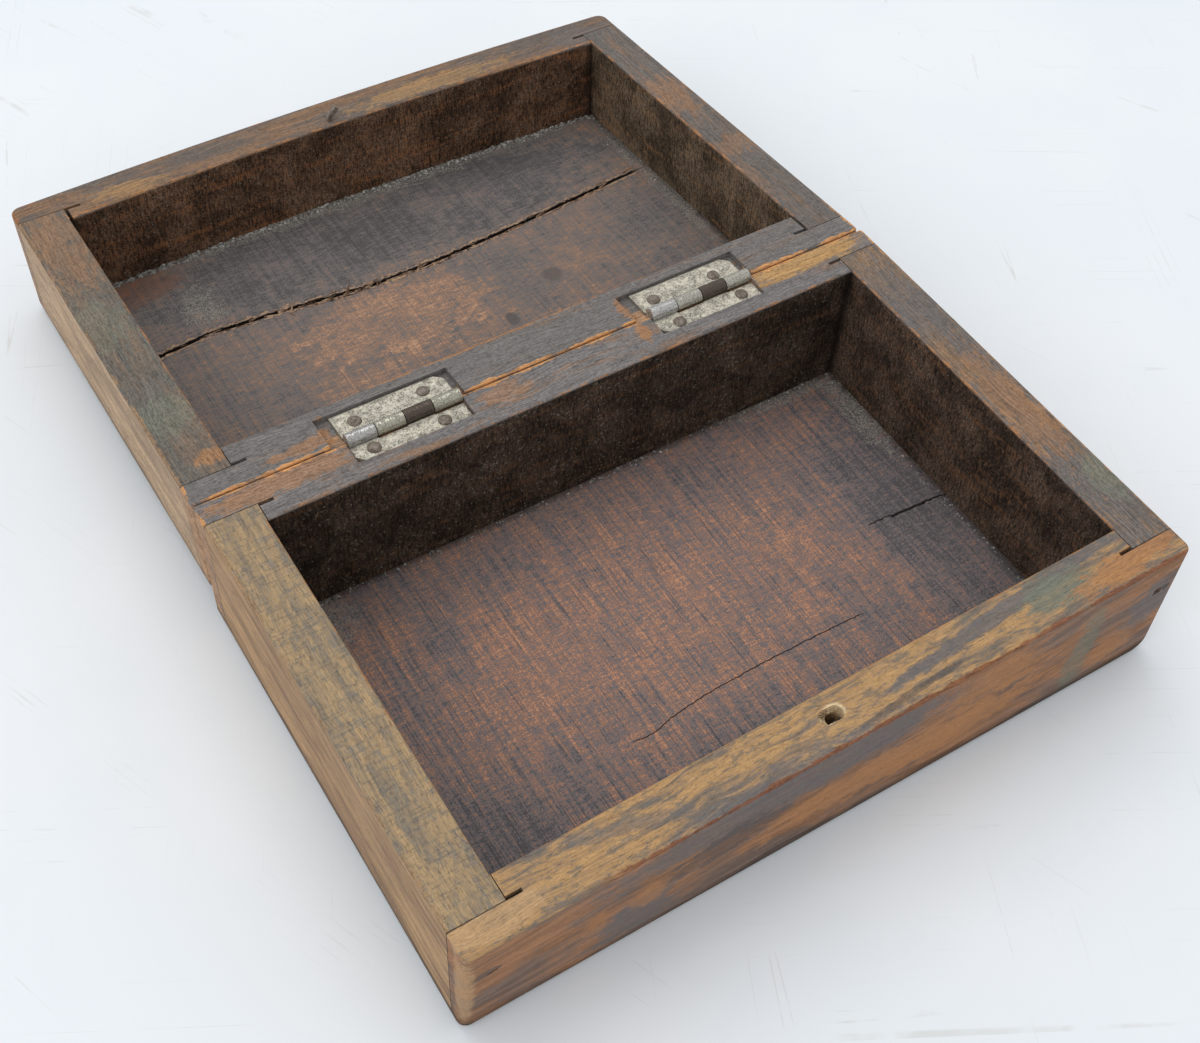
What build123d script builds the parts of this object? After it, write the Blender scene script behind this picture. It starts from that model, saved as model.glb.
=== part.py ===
from build123d import *
from dataclasses import dataclass, replace
from math import asin, atan2, cos, degrees, hypot, sin, sqrt, tan
import os

# A small wooden box for papers and keepsakes, lying open.
# Two trays, the deep base in front and the shallow lid behind it, share a pair of butt hinges
# along their back rails. X runs along the hinges, Y from the base to the lid and Z up.
# The origin is the middle of the base's underside. All sizes are in millimetres.

# Base tray
base_width = 158.0
base_depth = 103.6          # at mid width
base_height = 34.2
base_front_thickness = 11.2
base_back_thickness = 9.7
base_left_thickness = 10.8
base_right_thickness = 10.0
base_front_lip = 5.8
base_back_lip = 5.2
base_front_skew = 1.5       # the front's right end sits this much further back than its left end
base_front_twist = 2.8      # the front's left end leans in by this much at the foot
base_right_splay = 1.6      # the right side leans out by this much at the foot
base_board_thickness = 2.6
base_face_round = 1.8
base_left_edge_round = 2.2
base_right_edge_round = 4.2  # worn down most of all

# Lid tray, rim up like the base
lid_depth = 103.6
lid_height = 27.6
lid_front_thickness = 10.0
lid_back_thickness = 11.2
lid_left_thickness = 10.5
lid_right_thickness = 9.4
lid_front_lip = 5.8
lid_back_lip = 5.4
lid_front_bow = 1.8         # the front rail has warped outwards by this much in the middle
lid_right_step = 0.5        # the lid's right side sits this much inside the base's at the hinges
lid_right_taper = 2.0       # and comes in by this much more at the front
lid_board_thickness = 6.2
lid_face_round = 2.4
lid_side_edge_round = 2.6

# Corner joints: each long rail is rabbeted, and its thin lip covers the side rail's end grain
saw_kerf = 0.8
kerf_overrun = 3.0          # the saw ran this far past the rabbet's shoulder
shoulder_gap = 0.2          # from the shoulder to the side rail
loose_shoulder_gap = 0.8    # at two corners of the lid
back_face_round = 0.8
rim_round = 0.5

# Boards, let into a seat cut round the outer side of each tray
board_seat_width = 3.0
board_clearance = 0.1

# The lid's board has split along its grain, from its left end almost to its right one
crack_width = 0.9
crack_depth = 2.4
crack_line = (               # along the hinges, and from the pin to the crack
    (-72.0, 64.4),
    (-63.1, 65.3),
    (-50.7, 66.6),
    (-33.2, 65.1),
    (-12.0, 62.5),
    (5.1, 62.6),
    (25.9, 64.0),
    (53.5, 66.6),
    (66.6, 67.7),
)

# Hinges, with knuckles shared out between the two leaves
hinge_length = 25.0
left_hinge_x = -34.6
right_hinge_x = 35.7
knuckle_count = 4
knuckle_radius = 1.5
knuckle_side_gap = 0.2
knuckle_clearance = 0.3
leaf_thickness = 0.7
base_leaf_reach = 5.7       # from the pin to the leaf's edge
lid_leaf_reach = 8.2
leaf_clip = 1.8             # one corner of each leaf is clipped off
hinge_pin_radius = 0.75
fixed_pin_clearance = 0.02
running_pin_clearance = 0.06
back_face_gap = 0.4         # between the two back faces when the box lies open
closed_rim_gap = 0.3        # between the two rims when the box is shut
recess_clearance = 0.3
lid_recess_left_clearance = 3.2  # the lid's recesses were cut too long
lid_recess_right_clearance = 1.4

# Where each leaf's nails are: along the hinge from its middle, and from the pin
base_left_nail_spots = ((-8.2, 3.5), (7.1, 4.0))
base_right_nail_spots = ((-7.5, 4.1), (8.5, 3.7))
lid_left_nail_spots = ((-8.3, 4.8), (7.1, 5.3))
lid_right_nail_spots = ((-8.6, 4.4), (6.7, 4.3))

# Nails: square cut shanks with blunt points, and heads of the given number of sides
hinge_nail_shank = 0.95
hinge_nail_length = 7.0
hinge_nail_head_radius = 1.45
hinge_nail_head_sides = 12
hinge_nail_head_edge = 0.2
hinge_nail_head_rise = 0.45
hinge_nail_head_taper = 52.0
hinge_nail_point = 1.6
corner_nail_shank = 1.2
corner_nail_length = 18.0
corner_nail_head_radius = 1.3
corner_nail_head_edge = 0.3
corner_nail_head_rise = 0.2
corner_nail_point = 2.5
corner_nail_sink = 0.6
board_nail_shank = 0.9
board_nail_head_radius = 1.1
board_nail_head_edge = 0.25
board_nail_head_rise = 0.15
board_nail_point = 1.8
board_nail_sink = 0.2
cut_nail_head_sides = 4
cut_nail_head_taper = 40.0
nail_point_taper = 11.0
nail_head_clearance = 0.08
base_left_corner_nail_height = 23.7
base_right_corner_nail_height = 24.0
lid_corner_nail_height = 15.0
board_nail_bite = 8.0
board_nail_spread = 56.0    # along the long rails, from the middle
nail_clearance = 0.04
nail_end_clearance = 0.2

# Catch: a bent nail in the lid's front rail, and its worn hole in the base's front rail
catch_setback = 6.3         # from the lid's front face
catch_nail_x = -3.4
catch_nail_shank = 1.1
catch_nail_embed = 8.0
catch_nail_upright = 0.9
catch_nail_rise = 3.2
catch_nail_lean = 2.0
catch_nail_bend = 1.0
catch_hole_x = -1.9
catch_hole_radius = 1.6
catch_hole_depth = 6.5
catch_chip_x = -2.8
catch_chip_length = 5.0
catch_chip_depth = 2.0

# Worked out from the sizes above
half_width = base_width / 2
half_depth = base_depth / 2
pin_above_rim = closed_rim_gap / 2
pin_off_face = back_face_gap / 2
hinge_y = half_depth + pin_off_face
hinge_z = base_height + pin_above_rim
knuckle_length = hinge_length / knuckle_count
recess_depth = knuckle_radius - pin_above_rim
catch_reach = pin_off_face + lid_depth - catch_setback

# The open lid leans back until the rounded edge of its front rail meets the table
edge_reach = pin_off_face + lid_depth + lid_front_bow - lid_face_round
edge_drop = pin_above_rim + lid_height - lid_face_round
edge_fall = hinge_z - lid_face_round
lid_lean = asin(edge_fall / hypot(edge_reach, edge_drop)) - atan2(edge_drop, edge_reach)
print(f"The open lid leans back by {degrees(lid_lean):.3f} degrees.")


@dataclass
class Nail:
    """A square-shanked nail, whose head may be driven in below the surface."""

    shank: float
    length: float
    head_radius: float
    head_sides: int
    head_edge: float
    head_rise: float
    head_taper: float
    point: float
    sink: float

    @property
    def head_height(self):
        return self.head_edge + self.head_rise


@dataclass
class Tray:
    """One tray, rim up, in its own plane: its faces, its levels and its rails' thicknesses."""

    plane: Plane
    left: float
    right: float
    right_slope: float
    front: float
    front_slope: float
    back: float
    rim: float
    height: float
    front_bow: float
    front_twist: float
    right_splay: float
    back_lean: float
    board_thickness: float
    left_thickness: float
    right_thickness: float
    front_thickness: float
    back_thickness: float
    front_lip: float
    back_lip: float

    def at(self, side, side_inset, end, end_inset):
        """The point this far in from the left or right face and from the front or back face."""
        inward = 1 if self.back > self.front else -1
        if end == "front":
            y_start, y_slope = self.front + inward * end_inset, self.front_slope
        else:
            y_start, y_slope = self.back - inward * end_inset, 0.0
        if side == "left":
            x_start, x_slope = self.left + side_inset, 0.0
        else:
            x_start, x_slope = self.right - side_inset + self.right_slope * self.back, -self.right_slope
        x = (x_start + x_slope * y_start) / (1 - x_slope * y_slope)
        return (x, y_start + y_slope * x)

    def ring(self, left_inset, right_inset, front_inset, back_inset):
        """The four corners of the outline this far in from each face."""
        return (
            self.at("left", left_inset, "front", front_inset),
            self.at("right", right_inset, "front", front_inset),
            self.at("right", right_inset, "back", back_inset),
            self.at("left", left_inset, "back", back_inset),
        )

    def foot_ring(self):
        """The four corners of the outline at the outer side, where three faces stand off from the rim's."""
        back_inset = self.height * tan(self.back_lean)
        return (
            self.at("left", 0, "front", self.front_twist),
            self.at("right", -self.right_splay, "front", 0),
            self.at("right", -self.right_splay, "back", back_inset),
            self.at("left", 0, "back", back_inset),
        )

    @property
    def outer(self):
        """The level of the outer side, which is the underside while the box lies open."""
        return self.rim - self.height

    @property
    def up(self):
        return Axis(self.plane.origin, self.plane.z_dir)

    @property
    def along(self):
        return Axis(self.plane.origin, self.plane.y_dir)

    def level(self, z):
        return self.plane.offset(z)

    def spot(self, x, y, z):
        """A plane like the tray's own, at this point in it."""
        origin = self.plane.from_local_coords((x, y, z))
        return Plane(origin=origin, x_dir=self.plane.x_dir, z_dir=self.plane.z_dir)

    def under_spot(self, x, y):
        """A plane on the outer side that faces outwards."""
        origin = self.plane.from_local_coords((x, y, self.outer))
        return Plane(origin=origin, x_dir=self.plane.x_dir, z_dir=-self.plane.z_dir)


base = Tray(
    plane=Plane.XY,
    left=-half_width,
    right=half_width,
    right_slope=0.0,
    front=-half_depth,
    front_slope=base_front_skew / base_width,
    back=half_depth,
    rim=base_height,
    height=base_height,
    front_bow=0.0,
    front_twist=base_front_twist,
    right_splay=base_right_splay,
    back_lean=0.0,
    board_thickness=base_board_thickness,
    left_thickness=base_left_thickness,
    right_thickness=base_right_thickness,
    front_thickness=base_front_thickness,
    back_thickness=base_back_thickness,
    front_lip=base_front_lip,
    back_lip=base_back_lip,
)
lid_plane = Plane(origin=(0, hinge_y, hinge_z), x_dir=(1, 0, 0), z_dir=(0, sin(lid_lean), cos(lid_lean)))
lid = Tray(
    plane=lid_plane,
    left=-half_width,
    right=half_width - lid_right_step,
    right_slope=lid_right_taper / lid_depth,
    front=pin_off_face + lid_depth,
    front_slope=0.0,
    back=pin_off_face,
    rim=-pin_above_rim,
    height=lid_height,
    front_bow=lid_front_bow,
    front_twist=0.0,
    right_splay=0.0,
    back_lean=lid_lean,
    board_thickness=lid_board_thickness,
    left_thickness=lid_left_thickness,
    right_thickness=lid_right_thickness,
    front_thickness=lid_front_thickness,
    back_thickness=lid_back_thickness,
    front_lip=lid_front_lip,
    back_lip=lid_back_lip,
)

hinge_nail = Nail(
    shank=hinge_nail_shank,
    length=hinge_nail_length,
    head_radius=hinge_nail_head_radius,
    head_sides=hinge_nail_head_sides,
    head_edge=hinge_nail_head_edge,
    head_rise=hinge_nail_head_rise,
    head_taper=hinge_nail_head_taper,
    point=hinge_nail_point,
    sink=0.0,
)
corner_nail = Nail(
    shank=corner_nail_shank,
    length=corner_nail_length,
    head_radius=corner_nail_head_radius,
    head_sides=cut_nail_head_sides,
    head_edge=corner_nail_head_edge,
    head_rise=corner_nail_head_rise,
    head_taper=cut_nail_head_taper,
    point=corner_nail_point,
    sink=corner_nail_sink,
)
base_board_nail = Nail(
    shank=board_nail_shank,
    length=base_board_thickness + board_nail_bite,
    head_radius=board_nail_head_radius,
    head_sides=cut_nail_head_sides,
    head_edge=board_nail_head_edge,
    head_rise=board_nail_head_rise,
    head_taper=cut_nail_head_taper,
    point=board_nail_point,
    sink=board_nail_sink,
)
lid_board_nail = replace(base_board_nail, length=lid_board_thickness + board_nail_bite)


def profile_plane(spot):
    """The upright plane through a spot, with its own X and with the spot's Z as its Y."""
    return Plane(origin=spot.origin, x_dir=spot.x_dir, z_dir=-spot.y_dir)


def into_wood(spot, depth):
    """A plane this far below a spot that faces into the wood."""
    return Plane(origin=spot.offset(-depth).origin, x_dir=spot.x_dir, z_dir=-spot.z_dir)


def nail_head(nail, clearance=0.0):
    """The outline of a nail's head, turned so that a square one lines up with the shank."""
    RegularPolygon(nail.head_radius + clearance, nail.head_sides, rotation=180 / nail.head_sides)


def drive_nails(nail, spots):
    """Adds a nail at each spot, a plane on the surface that faces out of the wood."""
    seat_depth = nail.sink + nail.head_height
    for spot in spots:
        with BuildSketch(spot.offset(-seat_depth)) as head:
            nail_head(nail)
        extrude(head.sketch, amount=nail.head_edge)
        with BuildSketch(spot.offset(nail.head_edge - seat_depth)) as crown:
            nail_head(nail)
        extrude(crown.sketch, amount=nail.head_rise, taper=nail.head_taper)
        with BuildSketch(into_wood(spot, seat_depth)) as shank:
            Rectangle(nail.shank, nail.shank)
        extrude(shank.sketch, amount=nail.length - nail.point)
        with BuildSketch(into_wood(spot, seat_depth + nail.length - nail.point)) as point:
            Rectangle(nail.shank, nail.shank)
        extrude(point.sketch, amount=nail.point, taper=nail_point_taper)


def bore_for_nails(nail, spots):
    """Cuts the hole for a nail and its head at each spot."""
    seat_depth = nail.sink + nail.head_height
    side = nail.shank + 2 * nail_clearance
    for spot in spots:
        with BuildSketch(into_wood(spot, 0)) as pocket:
            nail_head(nail, nail_head_clearance)
        extrude(pocket.sketch, amount=seat_depth, mode=Mode.SUBTRACT)
        with BuildSketch(into_wood(spot, 0)) as hole:
            Rectangle(side, side)
        extrude(hole.sketch, amount=seat_depth + nail.length + nail_end_clearance, mode=Mode.SUBTRACT)


def bowed_outline(tray, corners):
    """Draws a tray's outline through four corners, with its front edge, the first, bowed outwards."""
    (left_x, left_y), (right_x, right_y) = corners[:2]
    outward = 1 if tray.front > tray.back else -1
    middle = ((left_x + right_x) / 2, (left_y + right_y) / 2 + outward * tray.front_bow)
    with BuildLine() as outline:
        if tray.front_bow:
            ThreePointArc(corners[0], middle, corners[1])
        else:
            Line(corners[0], corners[1])
        Polyline(*corners[1:], corners[0])
    make_face(outline.edges())


def cut_rabbet_kerf(tray, end, lip, side, shoulder):
    """Cuts the slot that the saw left past the rabbet's shoulder."""
    with BuildSketch(tray.level(tray.outer)) as profile:
        Polygon(
            tray.at(side, shoulder, end, lip),
            tray.at(side, shoulder + kerf_overrun, end, lip),
            tray.at(side, shoulder + kerf_overrun, end, lip + saw_kerf),
            tray.at(side, shoulder, end, lip + saw_kerf),
            align=None,
        )
    extrude(profile.sketch, amount=tray.height, mode=Mode.SUBTRACT)


def long_rail(tray, end, lip, thickness, left_gap, right_gap):
    """A long rail: its lip runs the full width, and the rest stops at the side rails.

    It is cut a bow's width oversize, and the worn outside trims it.
    """
    bow = tray.front_bow if end == "front" else 0.0
    left_shoulder = tray.left_thickness + left_gap
    right_shoulder = tray.right_thickness + right_gap
    with BuildSketch(tray.level(tray.outer)) as profile:
        Polygon(
            tray.at("left", 0, end, -bow),
            tray.at("right", -tray.right_splay, end, -bow),
            tray.at("right", -tray.right_splay, end, lip),
            tray.at("right", right_shoulder, end, lip),
            tray.at("right", right_shoulder, end, thickness),
            tray.at("left", left_shoulder, end, thickness),
            tray.at("left", left_shoulder, end, lip),
            tray.at("left", 0, end, lip),
            align=None,
        )
    extrude(profile.sketch, amount=tray.height)
    cut_rabbet_kerf(tray, end, lip, "left", left_shoulder)
    cut_rabbet_kerf(tray, end, lip, "right", right_shoulder)


def side_rail(tray, side, thickness):
    """A side rail: it runs from lip to lip."""
    splay = tray.right_splay if side == "right" else 0.0
    with BuildSketch(tray.level(tray.outer)) as profile:
        Polygon(
            tray.at(side, -splay, "front", tray.front_lip),
            tray.at(side, thickness, "front", tray.front_lip),
            tray.at(side, thickness, "back", tray.back_lip),
            tray.at(side, -splay, "back", tray.back_lip),
            align=None,
        )
    extrude(profile.sketch, amount=tray.height)


def board_outline(tray, clearance):
    """The corners of a tray's board, this much smaller all round than its seat."""
    inset = clearance - board_seat_width
    return tray.ring(
        tray.left_thickness + inset,
        tray.right_thickness + inset,
        tray.front_thickness + inset,
        tray.back_thickness + inset,
    )


def cut_board_seat(tray):
    """Cuts the seat for the board into a rail."""
    with BuildSketch(tray.level(tray.outer)) as profile:
        bowed_outline(tray, board_outline(tray, 0))
    extrude(profile.sketch, amount=tray.board_thickness, mode=Mode.SUBTRACT)


def board_nail_spots(tray):
    """Where a tray's board is nailed: in the middle of its seat, in each rail."""
    inset = (board_clearance - board_seat_width) / 2
    front_y = tray.at("left", 0, "front", tray.front_thickness + inset)[1]
    back_y = tray.at("left", 0, "back", tray.back_thickness + inset)[1]
    middle_y = (tray.front + tray.back) / 2
    left_x = tray.at("left", tray.left_thickness + inset, "back", 0)[0]
    right_x = tray.right - tray.right_slope * abs(middle_y - tray.back) - tray.right_thickness - inset
    front_rise = tray.front_slope * (board_nail_spread - tray.left)
    return (
        tray.under_spot(-board_nail_spread, front_y + tray.front_slope * (-board_nail_spread - tray.left)),
        tray.under_spot(board_nail_spread, front_y + front_rise),
        tray.under_spot(-board_nail_spread, back_y),
        tray.under_spot(board_nail_spread, back_y),
        tray.under_spot(left_x, middle_y),
        tray.under_spot(right_x, middle_y),
    )


def corner_nail_spot(tray, side, end, height):
    """The plane on a long rail's outer face where a nail goes into the side rail's end."""
    thickness = tray.left_thickness if side == "left" else tray.right_thickness
    twist = tray.front_twist if (side, end) == ("left", "front") else 0.0
    x, y = tray.at(side, thickness / 2, end, twist * (1 - height / tray.height))
    outward = tray.plane.y_dir if (end == "front") == (tray.front > tray.back) else -tray.plane.y_dir
    origin = tray.plane.from_local_coords((x, y, tray.outer + height))
    return Plane(origin=origin, x_dir=tray.plane.x_dir, z_dir=outward)


def worn_frame(frame, tray, left_edge_round, right_edge_round, face_round):
    """The four rails as one ring, with the wear on its outer edges and on both rims."""
    with BuildSketch(tray.level(tray.outer)) as foot:
        bowed_outline(tray, tray.foot_ring())
    with BuildSketch(tray.level(tray.rim)) as rim:
        bowed_outline(tray, tray.ring(0, 0, 0, 0))
    loft([foot.sketch, rim.sketch], ruled=True)
    lower_edges = frame.edges().group_by(tray.up)[0].sort_by(Axis.X)
    fillet(lower_edges[-1], radius=right_edge_round)
    lower_edges = frame.edges().group_by(tray.up)[0].sort_by(Axis.X)
    fillet(lower_edges[0], radius=left_edge_round)
    inward = 1 if tray.back > tray.front else -1
    front_face = frame.faces().sort_by(tray.along)[0 if inward > 0 else -1]
    fillet(front_face.edges().sort_by(tray.up)[:-1], radius=face_round)
    back_face = frame.faces().sort_by(tray.along)[-1 if inward > 0 else 0]
    fillet(back_face.edges().sort_by(tray.up)[:-1], radius=back_face_round)
    fillet(frame.faces().sort_by(tray.up)[-1].edges(), radius=rim_round)
    thicknesses = (tray.left_thickness, tray.right_thickness, tray.front_thickness, tray.back_thickness)
    with BuildSketch(tray.level(tray.outer)) as profile:
        bowed_outline(tray, tray.ring(*thicknesses))
    extrude(profile.sketch, amount=tray.height, mode=Mode.SUBTRACT)
    rim_face = frame.faces().sort_by(tray.up)[-1]
    fillet(rim_face.inner_wires()[0].edges(), radius=rim_round)


def hinge_plane(tray, hinge_x):
    """A leaf's own plane: X along the pin, Y from the pin out over the leaf, Z up from the rim."""
    out = tray.plane.y_dir if tray.front > tray.back else -tray.plane.y_dir
    origin = (hinge_x, hinge_y, hinge_z)
    return Plane(origin=origin, x_dir=out.cross(tray.plane.z_dir), z_dir=tray.plane.z_dir)


def pin_plane(leaf_plane, x):
    """The plane across a hinge's pin, this far along it from the hinge's middle."""
    origin = leaf_plane.from_local_coords((x, 0, 0))
    return Plane(origin=origin, x_dir=leaf_plane.y_dir, z_dir=leaf_plane.x_dir)


def hinge_nail_spots(leaf_plane, spots):
    """The planes at the tops of a leaf's nail heads."""
    world_side = 1 if leaf_plane.x_dir.X > 0 else -1
    level = leaf_thickness - knuckle_radius + hinge_nail.head_height
    return [
        Plane(
            origin=leaf_plane.from_local_coords((world_side * x, reach, level)),
            x_dir=leaf_plane.x_dir,
            z_dir=leaf_plane.z_dir,
        )
        for x, reach in spots
    ]


def hinge_leaf(leaf_plane, reach, pin_clearance, spots):
    """A leaf: a plate under its own knuckles, notched for the other leaf's."""
    half_length = hinge_length / 2
    with BuildSketch(leaf_plane.offset(-knuckle_radius)) as profile:
        Polygon(
            (-half_length, 0),
            (half_length, 0),
            (half_length, reach - leaf_clip),
            (half_length - leaf_clip, reach),
            (-half_length, reach),
            align=None,
        )
    extrude(profile.sketch, amount=leaf_thickness)
    with BuildSketch(pin_plane(leaf_plane, -half_length)) as profile:
        Circle(knuckle_radius)
    extrude(profile.sketch, amount=hinge_length)
    notch_side = 2 * (knuckle_radius + knuckle_clearance)
    for knuckle in range(0, knuckle_count, 2):
        start = knuckle * knuckle_length - half_length - knuckle_side_gap / 2
        with BuildSketch(pin_plane(leaf_plane, start)) as profile:
            Rectangle(notch_side, notch_side)
        extrude(profile.sketch, amount=knuckle_length + knuckle_side_gap, mode=Mode.SUBTRACT)
    with BuildSketch(pin_plane(leaf_plane, -half_length)) as profile:
        Circle(hinge_pin_radius + pin_clearance)
    extrude(profile.sketch, amount=hinge_length, mode=Mode.SUBTRACT)
    for spot in hinge_nail_spots(leaf_plane, spots):
        with BuildSketch(into_wood(spot, hinge_nail.head_height)) as hole:
            Circle(hinge_nail.shank * sqrt(2) / 2 + nail_clearance)
        extrude(hole.sketch, amount=leaf_thickness, mode=Mode.SUBTRACT)


def cut_hinge_recess(tray, hinge_x, reach, left_clearance, right_clearance):
    """Cuts the recess for a leaf, and the hollow in which the knuckles turn."""
    leaf_plane = hinge_plane(tray, hinge_x)
    left_end = hinge_x - hinge_length / 2 - left_clearance
    right_end = hinge_x + hinge_length / 2 + right_clearance
    out = 1 if tray.front > tray.back else -1
    far_side = tray.back + out * (reach - pin_off_face + recess_clearance)
    near_side = tray.back - out * pin_off_face
    with BuildSketch(tray.level(tray.rim)) as profile:
        Polygon(
            (left_end, near_side),
            (right_end, near_side),
            (right_end, far_side),
            (left_end, far_side),
            align=None,
        )
    extrude(profile.sketch, amount=-recess_depth, mode=Mode.SUBTRACT)
    start = -hinge_length / 2 - recess_clearance
    with BuildSketch(pin_plane(leaf_plane, start)) as profile:
        Circle(knuckle_radius + knuckle_clearance)
    extrude(profile.sketch, amount=hinge_length + 2 * recess_clearance, mode=Mode.SUBTRACT)


base_corner_spots = (
    corner_nail_spot(base, "left", "front", base_left_corner_nail_height),
    corner_nail_spot(base, "right", "front", base_right_corner_nail_height),
    corner_nail_spot(base, "left", "back", base_left_corner_nail_height),
    corner_nail_spot(base, "right", "back", base_right_corner_nail_height),
)
lid_corner_spots = (
    corner_nail_spot(lid, "left", "front", lid_corner_nail_height),
    corner_nail_spot(lid, "right", "front", lid_corner_nail_height),
    corner_nail_spot(lid, "left", "back", lid_corner_nail_height),
    corner_nail_spot(lid, "right", "back", lid_corner_nail_height),
)
base_board_spots = board_nail_spots(base)
lid_board_spots = board_nail_spots(lid)
left_base_leaf_plane = hinge_plane(base, left_hinge_x)
right_base_leaf_plane = hinge_plane(base, right_hinge_x)
left_lid_leaf_plane = hinge_plane(lid, left_hinge_x)
right_lid_leaf_plane = hinge_plane(lid, right_hinge_x)
left_base_leaf_spots = hinge_nail_spots(left_base_leaf_plane, base_left_nail_spots)
right_base_leaf_spots = hinge_nail_spots(right_base_leaf_plane, base_right_nail_spots)
left_lid_leaf_spots = hinge_nail_spots(left_lid_leaf_plane, lid_left_nail_spots)
right_lid_leaf_spots = hinge_nail_spots(right_lid_leaf_plane, lid_right_nail_spots)

# The worn outsides of the two trays, from which the rails take their outer forms
with BuildPart() as base_frame:
    worn_frame(base_frame, base, base_left_edge_round, base_right_edge_round, base_face_round)

with BuildPart() as lid_frame:
    worn_frame(lid_frame, lid, lid_side_edge_round, lid_side_edge_round, lid_face_round)

# Base rails
with BuildPart() as base_front_rail:
    long_rail(base, "front", base_front_lip, base_front_thickness, shoulder_gap, shoulder_gap)
    add(base_frame.part, mode=Mode.INTERSECT)
    cut_board_seat(base)
    bore_for_nails(corner_nail, base_corner_spots[:2])
    bore_for_nails(base_board_nail, base_board_spots)
    with BuildSketch(base.spot(catch_hole_x, hinge_y - catch_reach, base.rim)):
        Circle(catch_hole_radius)
    extrude(amount=-catch_hole_depth, mode=Mode.SUBTRACT)
    with BuildSketch(base.spot(catch_chip_x, hinge_y - catch_reach, base.rim)):
        SlotOverall(catch_chip_length, 2 * catch_hole_radius)
    extrude(amount=-catch_chip_depth, mode=Mode.SUBTRACT)

with BuildPart() as base_back_rail:
    long_rail(base, "back", base_back_lip, base_back_thickness, shoulder_gap, shoulder_gap)
    add(base_frame.part, mode=Mode.INTERSECT)
    cut_board_seat(base)
    bore_for_nails(corner_nail, base_corner_spots[2:])
    bore_for_nails(base_board_nail, base_board_spots)
    for hinge_x in (left_hinge_x, right_hinge_x):
        cut_hinge_recess(base, hinge_x, base_leaf_reach, recess_clearance, recess_clearance)
    bore_for_nails(hinge_nail, left_base_leaf_spots + right_base_leaf_spots)

with BuildPart() as base_left_rail:
    side_rail(base, "left", base_left_thickness)
    add(base_frame.part, mode=Mode.INTERSECT)
    cut_board_seat(base)
    bore_for_nails(corner_nail, base_corner_spots)
    bore_for_nails(base_board_nail, base_board_spots)

with BuildPart() as base_right_rail:
    side_rail(base, "right", base_right_thickness)
    add(base_frame.part, mode=Mode.INTERSECT)
    cut_board_seat(base)
    bore_for_nails(corner_nail, base_corner_spots)
    bore_for_nails(base_board_nail, base_board_spots)

# Base board and nails
with BuildPart() as base_bottom_board:
    with BuildSketch(base.level(base.outer)):
        bowed_outline(base, board_outline(base, board_clearance))
    extrude(amount=base_board_thickness)
    bore_for_nails(base_board_nail, base_board_spots)

with BuildPart() as base_corner_nails:
    drive_nails(corner_nail, base_corner_spots)

with BuildPart() as base_board_nails:
    drive_nails(base_board_nail, base_board_spots)

# Lid rails
with BuildPart() as lid_front_rail:
    long_rail(lid, "front", lid_front_lip, lid_front_thickness, loose_shoulder_gap, shoulder_gap)
    add(lid_frame.part, mode=Mode.INTERSECT)
    cut_board_seat(lid)
    bore_for_nails(corner_nail, lid_corner_spots[:2])
    bore_for_nails(lid_board_nail, lid_board_spots)
    with BuildSketch(lid.spot(catch_nail_x, catch_reach, lid.rim)):
        Rectangle(catch_nail_shank + 2 * nail_clearance, catch_nail_shank + 2 * nail_clearance)
    extrude(amount=-(catch_nail_embed + nail_end_clearance), mode=Mode.SUBTRACT)

with BuildPart() as lid_back_rail:
    long_rail(lid, "back", lid_back_lip, lid_back_thickness, shoulder_gap, loose_shoulder_gap)
    add(lid_frame.part, mode=Mode.INTERSECT)
    cut_board_seat(lid)
    bore_for_nails(corner_nail, lid_corner_spots[2:])
    bore_for_nails(lid_board_nail, lid_board_spots)
    for hinge_x in (left_hinge_x, right_hinge_x):
        cut_hinge_recess(lid, hinge_x, lid_leaf_reach, lid_recess_left_clearance, lid_recess_right_clearance)
    bore_for_nails(hinge_nail, left_lid_leaf_spots + right_lid_leaf_spots)

with BuildPart() as lid_left_rail:
    side_rail(lid, "left", lid_left_thickness)
    add(lid_frame.part, mode=Mode.INTERSECT)
    cut_board_seat(lid)
    bore_for_nails(corner_nail, lid_corner_spots)
    bore_for_nails(lid_board_nail, lid_board_spots)

with BuildPart() as lid_right_rail:
    side_rail(lid, "right", lid_right_thickness)
    add(lid_frame.part, mode=Mode.INTERSECT)
    cut_board_seat(lid)
    bore_for_nails(corner_nail, lid_corner_spots)
    bore_for_nails(lid_board_nail, lid_board_spots)

# Lid board and nails
with BuildPart() as lid_top_board:
    with BuildSketch(lid.level(lid.outer)):
        bowed_outline(lid, board_outline(lid, board_clearance))
    extrude(amount=lid_board_thickness)
    bore_for_nails(lid_board_nail, lid_board_spots)
    near_side = [(x, y - crack_width / 2) for x, y in crack_line[1:-1]]
    far_side = [(x, y + crack_width / 2) for x, y in crack_line[1:-1]]
    with BuildSketch(lid.level(lid.outer + lid_board_thickness)):
        Polygon(crack_line[0], *near_side, crack_line[-1], *reversed(far_side), align=None)
    extrude(amount=-crack_depth, mode=Mode.SUBTRACT)

with BuildPart() as lid_corner_nails:
    drive_nails(corner_nail, lid_corner_spots)

with BuildPart() as lid_board_nails:
    drive_nails(lid_board_nail, lid_board_spots)

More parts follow.
